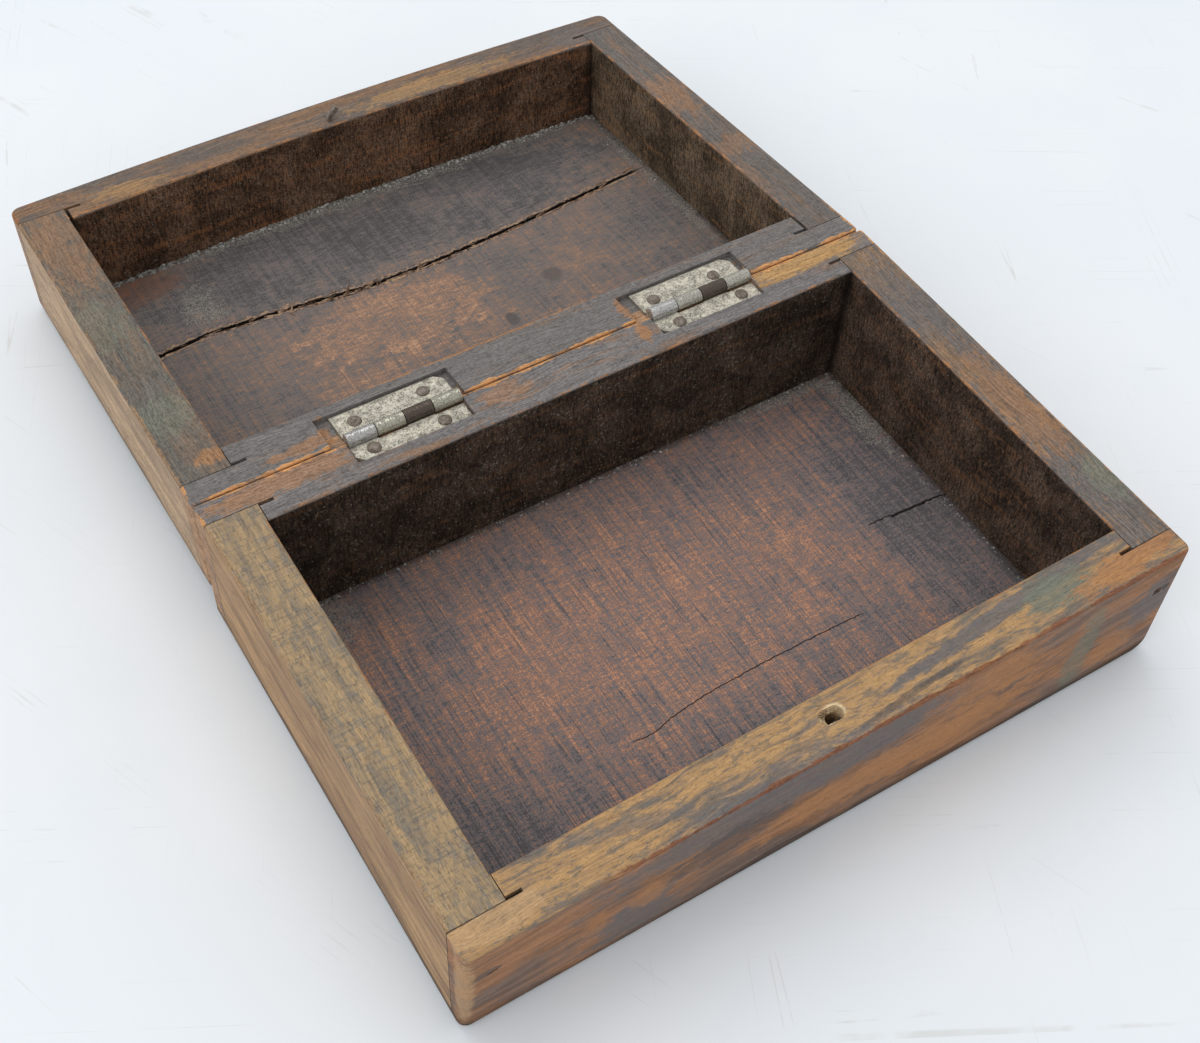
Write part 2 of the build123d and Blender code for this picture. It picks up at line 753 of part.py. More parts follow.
# Catch nail, bent over above the lid's rim
with BuildPart() as lid_catch_nail:
    with BuildLine(profile_plane(lid.spot(catch_nail_x, catch_reach, lid.rim))) as catch_path:
        FilletPolyline(
            (0, -catch_nail_embed),
            (0, catch_nail_upright),
            (catch_nail_lean, catch_nail_rise),
            radius=catch_nail_bend,
        )
    with BuildSketch(Plane(origin=catch_path.line @ 0, x_dir=lid.plane.x_dir, z_dir=catch_path.line % 0)):
        Rectangle(catch_nail_shank, catch_nail_shank)
    sweep(path=catch_path.line)

# Hinges
with BuildPart() as hinge_left_base_leaf:
    hinge_leaf(left_base_leaf_plane, base_leaf_reach, fixed_pin_clearance, base_left_nail_spots)

with BuildPart() as hinge_right_base_leaf:
    hinge_leaf(right_base_leaf_plane, base_leaf_reach, fixed_pin_clearance, base_right_nail_spots)

with BuildPart() as hinge_left_lid_leaf:
    hinge_leaf(left_lid_leaf_plane, lid_leaf_reach, running_pin_clearance, lid_left_nail_spots)

with BuildPart() as hinge_right_lid_leaf:
    hinge_leaf(right_lid_leaf_plane, lid_leaf_reach, running_pin_clearance, lid_right_nail_spots)

with BuildPart() as hinge_left_pin:
    with BuildSketch(pin_plane(left_base_leaf_plane, -hinge_length / 2)):
        Circle(hinge_pin_radius)
    extrude(amount=hinge_length)

with BuildPart() as hinge_right_pin:
    with BuildSketch(pin_plane(right_base_leaf_plane, -hinge_length / 2)):
        Circle(hinge_pin_radius)
    extrude(amount=hinge_length)

with BuildPart() as hinge_left_base_nails:
    drive_nails(hinge_nail, left_base_leaf_spots)

with BuildPart() as hinge_right_base_nails:
    drive_nails(hinge_nail, right_base_leaf_spots)

with BuildPart() as hinge_left_lid_nails:
    drive_nails(hinge_nail, left_lid_leaf_spots)

with BuildPart() as hinge_right_lid_nails:
    drive_nails(hinge_nail, right_lid_leaf_spots)

# Names and files
pieces = {
    "base_front_rail": base_front_rail,
    "base_back_rail": base_back_rail,
    "base_left_rail": base_left_rail,
    "base_right_rail": base_right_rail,
    "base_bottom_board": base_bottom_board,
    "base_corner_nails": base_corner_nails,
    "base_board_nails": base_board_nails,
    "hinge_left_base_leaf": hinge_left_base_leaf,
    "hinge_right_base_leaf": hinge_right_base_leaf,
    "hinge_left_base_nails": hinge_left_base_nails,
    "hinge_right_base_nails": hinge_right_base_nails,
    "hinge_left_pin": hinge_left_pin,
    "hinge_right_pin": hinge_right_pin,
    "lid_front_rail": lid_front_rail,
    "lid_back_rail": lid_back_rail,
    "lid_left_rail": lid_left_rail,
    "lid_right_rail": lid_right_rail,
    "lid_top_board": lid_top_board,
    "lid_corner_nails": lid_corner_nails,
    "lid_board_nails": lid_board_nails,
    "lid_catch_nail": lid_catch_nail,
    "hinge_left_lid_leaf": hinge_left_lid_leaf,
    "hinge_right_lid_leaf": hinge_right_lid_leaf,
    "hinge_left_lid_nails": hinge_left_lid_nails,
    "hinge_right_lid_nails": hinge_right_lid_nails,
}
os.makedirs("parts", exist_ok=True)
for name, piece in pieces.items():
    piece.part.label = name
    export_step(piece.part, f"parts/{name}.step")
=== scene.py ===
"""Dresses a small old wooden box that lies open: two worn trays, two rusty butt hinges and a bent catch nail."""

import logging
import math
from dataclasses import dataclass
from enum import Enum
from typing import Any, Callable, Sequence

import bpy
from mathutils import Matrix, Vector


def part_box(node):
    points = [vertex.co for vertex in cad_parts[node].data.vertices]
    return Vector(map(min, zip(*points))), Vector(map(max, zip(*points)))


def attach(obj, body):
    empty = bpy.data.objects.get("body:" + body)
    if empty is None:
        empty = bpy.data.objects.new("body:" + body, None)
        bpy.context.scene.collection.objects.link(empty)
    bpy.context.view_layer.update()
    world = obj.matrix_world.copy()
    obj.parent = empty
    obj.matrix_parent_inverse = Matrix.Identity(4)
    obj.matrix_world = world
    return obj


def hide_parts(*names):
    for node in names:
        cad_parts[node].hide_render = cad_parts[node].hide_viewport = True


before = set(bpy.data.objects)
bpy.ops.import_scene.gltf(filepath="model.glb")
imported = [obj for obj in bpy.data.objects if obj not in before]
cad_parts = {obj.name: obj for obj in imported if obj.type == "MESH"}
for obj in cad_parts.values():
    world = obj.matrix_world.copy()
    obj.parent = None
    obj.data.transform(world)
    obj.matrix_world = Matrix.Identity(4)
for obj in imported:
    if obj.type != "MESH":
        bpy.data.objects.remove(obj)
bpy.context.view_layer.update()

LOG = logging.getLogger("wooden_box")
MM = 0.001
PER_MM = 1000.0
SOCKET_KINDS = {float: "Float", int: "Int", tuple: "Vector"}
ORIGIN = (0.0, 0.0, 0.0)
HALF_LENGTH = 79.0  # of the box along the hinges, in millimetres
FRONT_FACE, FRONT_REACH = 103.6, 4.0  # the base's front face from its back, and how far its patches reach
RIM_REACH, FLOOR_REACH = 2.0, 9.0  # half heights of the patches on a rim and on a floor

Colour = tuple[float, float, float]
Material = bpy.types.Material
Piece = bpy.types.Object


def operator(operation: str, swapped: bool = False) -> Callable[["Wire", "Value"], "Wire"]:
    """Makes a wire's method for one operator; swapped puts the other value first."""

    def apply(wire: "Wire", other: "Value") -> "Wire":
        """The operator's result."""
        return wire.graph.operate(operation, *((other, wire) if swapped else (wire, other)))

    return apply


class Wire:
    """A node's output. An operator on it adds a Math node, or a Vector Math node beside a vector or colour."""

    __add__, __radd__ = operator("ADD"), operator("ADD", swapped=True)
    __sub__, __rsub__ = operator("SUBTRACT"), operator("SUBTRACT", swapped=True)
    __mul__, __rmul__ = operator("MULTIPLY"), operator("MULTIPLY", swapped=True)
    __truediv__ = operator("DIVIDE")

    def __init__(self, graph: "Graph", socket: bpy.types.NodeSocket) -> None:
        """Keeps the output and its graph."""
        self.graph, self.socket = graph, socket

    def __abs__(self) -> "Wire":
        """Drops the sign."""
        return self.graph.math("ABSOLUTE", self)


Value = Wire | float | Sequence[float]


class Graph:
    """Builds a node tree with few words: most methods add a node and return its output."""

    families = ("ShaderNode",)

    def __init__(self, tree: bpy.types.NodeTree) -> None:
        """Starts on a tree."""
        self.tree = tree

    def add(self, kind: str, **settings: Any) -> bpy.types.Node:
        """Adds a node.

        Args:
            kind: its type name without the prefix.
            settings: properties to set on it.

        Returns:
            The node.
        """
        family = next(name for name in self.families if hasattr(bpy.types, name + kind))
        node = self.tree.nodes.new(family + kind)
        for key, value in settings.items():
            setattr(node, key, value)
        return node

    def feed(self, socket: bpy.types.NodeSocket, value: Value) -> None:
        """Fills an input.

        Args:
            socket: the input.
            value: what it is linked or set to.
        """
        if isinstance(value, Wire):
            self.tree.links.new(value.socket, socket)
        elif socket.type == "RGBA" and isinstance(value, tuple):
            socket.default_value = (*value, 1.0)
        else:
            socket.default_value = value

    def fill(self, node: bpy.types.Node, inputs: dict[str, Value]) -> None:
        """Fills a node's inputs by name, with underscores for spaces."""
        for name, value in inputs.items():
            self.feed(node.inputs[name.replace("_", " ")], value)

    def run(self, kind: str, output: int | str = 0, settings: dict[str, Any] | None = None, **inputs: Value) -> Wire:
        """Adds a node with its inputs filled.

        Args:
            kind: its type name without the prefix.
            output: which output to return.
            settings: properties to set on it.
            inputs: values by input name, with underscores for spaces.

        Returns:
            The output.
        """
        node = self.add(kind, **(settings or {}))
        self.fill(node, inputs)
        return Wire(self, node.outputs[output])

    def row(self, kind: str, output: int | str, values: Sequence[Value], **settings: Any) -> Wire:
        """Adds a node whose inputs are filled in their order.

        Args:
            kind: its type name without the prefix.
            output: which output to return.
            values: what goes in.
            settings: properties to set on it.

        Returns:
            The output.
        """
        node = self.add(kind, **settings)
        for socket, value in zip(node.inputs, values):
            self.feed(socket, value)
        return Wire(self, node.outputs[output])

    def math(self, operation: str, *values: Value, clamp: bool = False) -> Wire:
        """A Math node's result for these values."""
        return self.row("Math", 0, values, operation=operation, use_clamp=clamp)

    def operate(self, operation: str, left: Value, right: Value) -> Wire:
        """Adds the node that one operator stands for.

        Args:
            operation: the operation between two values of one kind.
            left: the first value.
            right: the second value.

        Returns:
            The result; a vector times a number is scaled.
        """
        single = [v.socket.type == "VALUE" if isinstance(v, Wire) else not isinstance(v, tuple) for v in (left, right)]
        if all(single):
            return self.math(operation, left, right)
        if not any(single):
            return self.row("VectorMath", 0, (left, right), operation=operation)
        return self.run("VectorMath", settings={"operation": "SCALE"}, Vector=left, Scale=right)

    def smooth(self, value: Value, low: Value, high: Value, start: float = 0.0, end: float = 1.0) -> Wire:
        """A smooth step of a value, from start at low to end at high."""
        step = {"interpolation_type": "SMOOTHSTEP"}
        return self.run("MapRange", 0, step, Value=value, From_Min=low, From_Max=high, To_Min=start, To_Max=end)

    def noise(self, vector: Value, scale: Value, detail: float, rough: float, warp: float = 0.0) -> Wire:
        """A noise of about 0.5: its scale is per millimetre, detail counts octaves, and warp distorts it."""
        return self.run("TexNoise", Vector=vector, Scale=scale, Detail=detail, Roughness=rough, Distortion=warp)

    def mix(self, factor: Value, below: Value, above: Value) -> Wire:
        """Mixes two colours.

        Args:
            factor: how much of the upper one shows.
            below: the lower colour.
            above: the upper colour.

        Returns:
            The mixed colour.
        """
        node = self.add("Mix", data_type="RGBA")
        for index, value in ((0, factor), (6, below), (7, above)):
            self.feed(node.inputs[index], value)
        return Wire(self, node.outputs[2])

    def cover(self, colour: Value, *layers: tuple[Value, Value]) -> Wire:
        """Lays masked colours over a colour, one after another."""
        for mask, above in layers:
            colour = self.mix(mask, colour, above)
        return colour

    def ramp(self, factor: Value, *stops: tuple[float, Colour]) -> Wire:
        """Adds a colour ramp.

        Args:
            factor: what to look up.
            stops: places and their colours.

        Returns:
            The colour.
        """
        node = self.add("ValToRGB")
        self.feed(node.inputs["Fac"], factor)
        elements = node.color_ramp.elements
        while len(elements) < len(stops):
            elements.new(0.5)
        for element, (place, colour) in zip(elements, stops):
            element.position, element.color = place, (*colour, 1.0)
        return Wire(self, node.outputs["Color"])

    def turn(self, vector: Value, axis: str, angle: Value) -> Wire:
        """The vector turned about the X or Z axis by an angle in radians."""
        return self.run("VectorRotate", settings={"rotation_type": axis + "_AXIS"}, Vector=vector, Angle=angle)

    def split(self, vector: Value) -> list[Wire]:
        """The three parts of a vector."""
        node = self.add("SeparateXYZ")
        self.feed(node.inputs[0], vector)
        return [Wire(self, socket) for socket in node.outputs]

    def join(self, *parts: Value) -> Wire:
        """A vector of up to three parts."""
        return self.row("CombineXYZ", 0, parts)

    def use(self, group: "Group", **inputs: Value) -> dict[str, Wire]:
        """Places a node group.

        Args:
            group: the group.
            inputs: values by input name, with underscores for spaces.

        Returns:
            Its outputs by name.
        """
        node = self.add("Group", node_tree=group.tree)
        self.fill(node, inputs)
        return {socket.name: Wire(self, socket) for socket in node.outputs}


class Group(Graph):
    """A node group with named inputs and outputs, and the graph inside it."""

    kind = "ShaderNodeTree"

    def __init__(self, name: str, **inputs: Any) -> None:
        """Starts a group.

        Args:
            name: its name.
            inputs: defaults by input name, with underscores for spaces, or a socket's kind where none is given.
        """
        super().__init__(bpy.data.node_groups.new(name, self.kind))
        for key, default in inputs.items():
            kind = default if isinstance(default, str) else SOCKET_KINDS[type(default)]
            socket = self.socket(key, "INPUT", kind)
            if kind != default:
                socket.default_value = default
        self.given = {s.name: Wire(self, s) for s in self.tree.nodes.new("NodeGroupInput").outputs}
        self.result = self.tree.nodes.new("NodeGroupOutput")

    def socket(self, key: str, way: str, kind: str) -> bpy.types.NodeTreeInterfaceSocket:
        """Adds a socket of that kind to the group's interface; way is INPUT or OUTPUT."""
        return self.tree.interface.new_socket(key.replace("_", " "), in_out=way, socket_type="NodeSocket" + kind)

    def put(self, kind: str = "Float", **values: Value) -> "Group":
        """Adds outputs and feeds them.

        Args:
            kind: the outputs' kind.
            values: values by output name, with underscores for spaces.

        Returns:
            The group.
        """
        for key in values:
            self.socket(key, "OUTPUT", kind)
        self.fill(self.result, values)
        return self


class Effects:
    """The shader node groups that several finishes share."""

    def __init__(self) -> None:
        """Builds every group."""
        self.place, self.edges, self.figure = self.build_place(), self.build_edges(), self.build_figure()
        self.spot, self.wear, self.dust = self.build_spot(), self.build_wear(), self.build_dust()

    @staticmethod
    def build_place() -> Group:
        """Turns Object coordinates into a tray's own millimetres.

        Returns:
            A group that gives the place along the hinges, from the back, and below the rim.
        """
        g = Group("tray_place", Origin=ORIGIN, Lean=0.0, Turned=(1.0, 1.0, 1.0), Shift=ORIGIN)
        local = (g.run("TexCoord", "Object") - g.given["Origin"]) * PER_MM
        turned = g.turn(local, "X", g.given["Lean"])
        return g.put("Vector", Place=turned * g.given["Turned"] + g.given["Shift"])

    @staticmethod
    def build_edges() -> Group:
        """Measures how far each point is from a tray's edges.

        Returns:
            A group that gives distances in millimetres, and masks of the inner and outer walls.
        """
        g = Group(
            "tray_edges", Place=ORIGIN, Left=-HALF_LENGTH, Right=HALF_LENGTH, Right_Taper=0.0, Front=FRONT_FACE,
            Front_Skew=0.0, Front_Bow=0.0, Left_Rail=10.0, Right_Rail=10.0, Front_Rail=10.0, Back_Rail=10.0,
            Height=30.0,
        )
        given = g.given
        x, back, depth = g.split(given["Place"])
        left = x - given["Left"]
        right = given["Right"] - back * given["Right Taper"] - x
        middle = 1.0 - g.math("POWER", x / HALF_LENGTH, 2.0)
        front = given["Front"] + middle * given["Front Bow"] - x * given["Front Skew"] - back
        side, end = g.math("MINIMUM", left, right), g.math("MINIMUM", back, front)
        outer = g.math("MAXIMUM", g.math("MINIMUM", side, end), 0.0)
        below = g.math("MAXIMUM", depth, 0.0)
        in_sides = g.math("MAXIMUM", given["Left Rail"] - left, given["Right Rail"] - right)
        in_ends = g.math("MAXIMUM", given["Front Rail"] - front, given["Back Rail"] - back)
        inner = g.math("MAXIMUM", in_sides, in_ends)
        deep = g.smooth(depth, 0.25, 0.8)

        def reach(a: Value, b: Value) -> Wire:
            """The distance from the edge where a and b are both 0."""
            return g.math("SQRT", a * a + b * b)

        return g.put(
            Outer_Rim=reach(outer, below), Inner_Rim=reach(inner, below), Foot=reach(outer, given["Height"] - depth),
            Corner=reach(side, end), Inner_Corner=reach(in_sides, in_ends), Wall_Gap=inner * -1.0,
            Inside=deep * g.smooth(inner, 0.9, 0.3), Outside=deep * g.smooth(outer, 4.0, 3.2),
        )

    @staticmethod
    def build_figure() -> Group:
        """Draws the wood's figure.

        Returns:
            A group that gives streaks, fibres, pores, marks across the grain, clouds, grit and an overall tone.
        """
        g = Group("wood_figure", Place=ORIGIN, Stretch=(0.07, 1.0, 1.0), Across=(1.0, 0.07, 1.0), Seed=0.0)
        stretch = g.given["Stretch"]
        moved = g.given["Place"] + (37.0, 53.0, 71.0) * g.given["Seed"]
        swayed = moved + g.run("TexNoise", "Color", Vector=moved, Scale=0.045) * 5.0
        along, across = swayed * stretch, moved * g.given["Across"]
        fibres = g.noise(swayed * (stretch * stretch), 4.2, 4.0, 0.7)
        grit = g.noise(moved * (stretch * 0.6 + (0.4, 0.4, 0.4)), 3.0, 4.0, 0.78)
        marks_across = g.smooth(g.noise(across, 2.1, 3.0, 0.62), 0.49, 0.62)
        marks_along = g.smooth(g.noise(along, 2.6, 3.0, 0.62), 0.50, 0.63)
        broken = g.smooth(g.noise(moved, 0.9, 4.0, 0.75), 0.38, 0.60)
        return g.put(
            Streaks=g.noise(along, 0.55, 5.0, 0.62, 0.6),
            Fibres=fibres,
            Pores=g.smooth(g.noise(swayed * (stretch + (0.14, 0.14, 0.0)), 2.8, 2.0, 0.6), 0.60, 0.70),
            Cross_Marks=g.math("MAXIMUM", marks_across, marks_along) * broken,
            Cloud=g.noise(swayed * (stretch + (0.25, 0.25, 0.0)), 0.12, 6.0, 0.62, 0.4),
            Grit=grit,
            Tone=g.smooth(fibres * 0.55 + grit * 0.45, 0.36, 0.64, 0.52, 1.48),
        )

    @staticmethod
    def build_spot() -> Group:
        """Draws a ragged oval stain or bare place.

        Returns:
            A group that gives its mask.
        """
        g = Group("ragged_spot", Place=ORIGIN, Middle=ORIGIN, Reach=(5.0, 5.0, 5.0), Turn=0.0, Ragged=0.6, Edge=0.5)
        turned = g.turn(g.given["Place"] - g.given["Middle"], "Z", g.given["Turn"])
        size = g.row("VectorMath", "Value", (turned / g.given["Reach"],), operation="LENGTH")
        rough = (g.given["Edge"] - 0.5) * (g.given["Ragged"] * 4.2)
        return g.put(Mask=g.smooth(size + rough, 1.12, 0.72))

    @staticmethod
    def build_wear() -> Group:
        """Draws a ragged worn line along an edge.

        Returns:
            A group that gives its mask.
        """
        g = Group("edge_wear", Place=ORIGIN, Distance=0.0, Width=0.8, Scale=0.25, Gaps=0.4)
        broad = g.noise(g.given["Place"], g.given["Scale"], 3.0, 0.6)
        fine = g.noise(g.given["Place"], g.given["Scale"] * 6.0, 3.0, 0.65)
        swing = (broad - g.given["Gaps"]) * 3.2 + (fine - 0.5)
        width = g.given["Width"] * g.math("MAXIMUM", swing, 0.0)
        return g.put(Mask=g.smooth(width - g.given["Distance"], -0.12, 0.22))

    @staticmethod
    def build_dust() -> Group:
        """Strews grains of dust.

        Returns:
            A group that gives their mask and height.
        """
        g = Group("dust_grains", Place=ORIGIN, Amount=0.3)
        grains = g.noise(g.given["Place"], 3.4, 3.0, 0.75)
        lumps = g.noise(g.given["Place"], 0.9, 4.0, 0.7)
        bar = 0.72 - g.given["Amount"] * 0.3
        mask = g.smooth(grains * 0.62 + lumps * 0.38, bar, bar + 0.09)
        return g.put(Mask=mask, Height=mask * grains)


class Tone(Enum):
    """Colours that the old wood shows, as linear values."""

    GOLD = (0.50, 0.285, 0.105)
    STRAW = (0.50, 0.32, 0.17)
    ORANGE = (0.38, 0.19, 0.085)
    AMBER = (0.43, 0.20, 0.08)
    RUST = (0.24, 0.095, 0.045)
    # on the rims this grey is partly weathered wood and partly a painted sheen
    SLATE = (0.145, 0.135, 0.135)
    INK = (0.075, 0.068, 0.068)
    MOSS = (0.185, 0.195, 0.15)
    DUST = (0.36, 0.33, 0.27)
    PITH = (0.80, 0.62, 0.38)


GOLD, STRAW, ORANGE, AMBER, RUST, SLATE, INK, MOSS, DUST, PITH = Tone


class Dark(Enum):
    """Near-black colours of pores, gaps and dirt, and of painted shade, as linear values."""

    RAIL_PORE = (0.055, 0.038, 0.03)
    BOARD_PORE = (0.045, 0.032, 0.025)
    JOINT = (0.02, 0.014, 0.01)
    # painted shade along the foot of the box, where it meets the table
    FOOT = (0.04, 0.026, 0.019)
    # painted shade in a tray's inner corners
    POCKET = (0.012, 0.009, 0.008)
    SAW = (0.05, 0.04, 0.04)
    # painted shade on a floor along its walls
    FLOOR_EDGE = (0.035, 0.028, 0.025)
    CRACK = (0.014, 0.010, 0.008)
    # a hinge leaf goes darker towards its free edges
    GRIME = (0.06, 0.048, 0.036)
    BARREL_RUST = (0.10, 0.078, 0.062)


def shaded(colour: Colour, factor: float) -> Colour:
    """A colour made darker or lighter, never above white."""
    return tuple(min(c * factor, 1.0) for c in colour)


@dataclass(frozen=True)
class Patch:
    """One ragged stain or bare place, in its tray's millimetres.

    Attributes:
        tone: its colour.
        at: its middle along the hinges, from the back and below the rim.
        reach: its half sizes.
        strength: how much of it shows.
        ragged: how torn its edge is.
        turn: its turn in the rim's plane, in radians.
    """

    tone: Tone
    at: tuple[float, float, float]
    reach: tuple[float, float, float]
    strength: float = 0.8
    ragged: float = 0.6
    turn: float = 0.0

    def mask(self, g: "TrayCoat", edge: Wire) -> Wire:
        """Where it shows; edge is the noise that tears its outline."""
        sizes = {"Middle": self.at, "Reach": self.reach, "Turn": self.turn, "Ragged": self.ragged}
        return g.use(g.effects.spot, Place=g.place, Edge=edge, **sizes)["Mask"]


PatchRow = tuple[Tone, float, float, float, float] | tuple[Tone, float, float, float, float, float, float]


def on_level(below: float, reach: float, *rows: PatchRow) -> tuple[Patch, ...]:
    """Patches on a rim or floor, from rows of tone, place, half sizes, strength, raggedness and turn."""
    return tuple(Patch(tone, (x, back, below), (wide, deep, reach), *more) for tone, x, back, wide, deep, *more in rows)


def on_rim(*rows: PatchRow) -> tuple[Patch, ...]:
    """Patches on a rim, of the usual half height."""
    return on_level(0.0, RIM_REACH, *rows)


def on_front(*rows: PatchRow) -> tuple[Patch, ...]:
    """Patches on the base's front face, from rows of tone, place along it and below the rim, half sizes and so on."""
    at, reach = FRONT_FACE, FRONT_REACH
    return tuple(Patch(tone, (x, at, below), (wide, reach, tall), *more) for tone, x, below, wide, tall, *more in rows)


@dataclass(frozen=True)
class Tray:
    """One half of the box: its place in the frame, its body and its edges.

    Attributes:
        body: the body that carries it.
        hinge_y: where its hinge side starts, in millimetres.
        hinge_z: how high its rim is there.
        way: 1 where it runs away from the base, -1 where it runs to the front.
        floor: how far its floor lies below the rim.
        foot_shade: how dark the painted shade along its foot is, where it meets the table.
        edges: its edges by the names of the edge group's inputs.
        lean: its turn about the hinges, in radians.
        shift: what is added along its depth and below its rim after the turn.
    """

    body: str
    hinge_y: float
    hinge_z: float
    way: float
    floor: float
    foot_shade: float
    edges: dict[str, float]
    lean: float = 0.0
    shift: tuple[float, float] = (0.0, 0.0)

    def point(self, x: float, back: float, below: float) -> Vector:
        """Puts one place of the tray into the frame.

        Args:
            x: the place along the hinges.
            back: how far it is from the tray's back face.
            below: how far it is below the rim.

        Returns:
            The place in metres.
        """
        run, rise = self.way * (back - self.shift[0]), -(below - self.shift[1])
        y = self.hinge_y + run * math.cos(self.lean) + rise * math.sin(self.lean)
        return Vector((x, y, self.hinge_z - run * math.sin(self.lean) + rise * math.cos(self.lean))) * MM

    def bed(
        self, name: str, places: Sequence[tuple[float, float, float]], edges: Sequence[tuple[int, int]] = (),
        faces: Sequence[tuple[int, ...]] = (),
    ) -> bpy.types.Mesh:
        """Makes a mesh from places in the tray.

        Args:
            name: the mesh's name.
            places: along the hinges, from the back, and below the rim.
            edges: pairs of places.
            faces: rings of places.

        Returns:
            The mesh.
        """
        mesh = bpy.data.meshes.new(name)
        mesh.from_pydata([self.point(*p) for p in places], list(edges), list(faces))
        return mesh


BASE = Tray(
    "base", 51.8, 34.2, -1.0, floor=31.6, foot_shade=0.88,
    edges={"Front_Skew": 0.0095, "Left_Rail": 10.8, "Front_Rail": 11.2, "Back_Rail": 9.7, "Height": 34.2},
)
LID = Tray(
    "lid", 52.0, 34.35, 1.0, floor=21.4, foot_shade=0.45, lean=0.06451, shift=(-0.2, -0.15),
    edges={
        "Right": 78.5, "Right_Taper": 0.0193, "Front_Bow": 1.8, "Left_Rail": 10.5, "Right_Rail": 9.4,
        "Back_Rail": 11.2, "Height": 27.6,
    },
)


class Coat(Graph):
    """A fresh principled material, and the graph on its tree."""

    def __init__(self, name: str) -> None:
        """Makes the material."""
        self.material = bpy.data.materials.new(name)
        self.material.use_nodes = True
        super().__init__(self.material.node_tree)

    def here(self) -> Wire:
        """The Object coordinates in millimetres."""
        return self.run("TexCoord", "Object") * PER_MM

    def lay(self, *, specular: float = 0.5, **inputs: Value) -> "Coat":
        """Feeds the shader.

        Args:
            specular: its specular level, the same all over.
            inputs: values by input name, with underscores for spaces.

        Returns:
            The coat.
        """
        shader = self.tree.nodes["Principled BSDF"]
        shader.inputs["Specular IOR Level"].default_value = specular
        self.fill(shader, inputs)
        return self

    def bump(self, height: Value, distance: float, strength: float = 1.0) -> Wire:
        """The normal bumped by a height map; distance is how tall a height of 1 is, in metres."""
        return self.run("Bump", Height=height, Distance=distance, Strength=strength)

    def dress(self, *nodes: str) -> Material:
        """Puts the material in every slot of CAD nodes.

        Args:
            nodes: the nodes' names.

        Returns:
            The material.
        """
        for node in nodes:
            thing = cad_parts[node]
            if not thing.material_slots:
                thing.data.materials.append(self.material)
            for slot in thing.material_slots:
                slot.material = self.material
        return self.material


class Grain(Enum):
    """Which way a board's grain runs, as the figure's stretch and its marks' stretch."""

    ALONG_HINGES = ((0.07, 1.0, 1.0), (1.0, 0.07, 0.07))
    FRONT_TO_BACK = ((1.0, 0.07, 1.0), (0.07, 1.0, 0.07))


class TrayCoat(Coat):
    """A coat whose patterns follow a tray: it knows each point's place there, the wood's figure and the edges."""

    def __init__(self, name: str, effects: Effects, tray: Tray, grain: Grain, seed: float) -> None:
        """Makes the material.

        Args:
            name: its name.
            effects: the shared groups.
            tray: the tray.
            grain: which way the grain runs.
            seed: moves the figure.
        """
        super().__init__(name)
        self.effects = effects
        origin, turned = (0.0, tray.hinge_y * MM, tray.hinge_z * MM), (1.0, tray.way, -1.0)
        here = self.use(effects.place, Origin=origin, Lean=tray.lean, Turned=turned, Shift=(0.0, *tray.shift))
        self.place = here["Place"]
        self.x, self.back, self.depth = self.split(self.place)
        self.edges = self.use(effects.edges, Place=self.place, **tray.edges)
        stretch, across = grain.value
        self.wood = self.use(effects.figure, Place=self.place, Stretch=stretch, Across=across, Seed=seed)


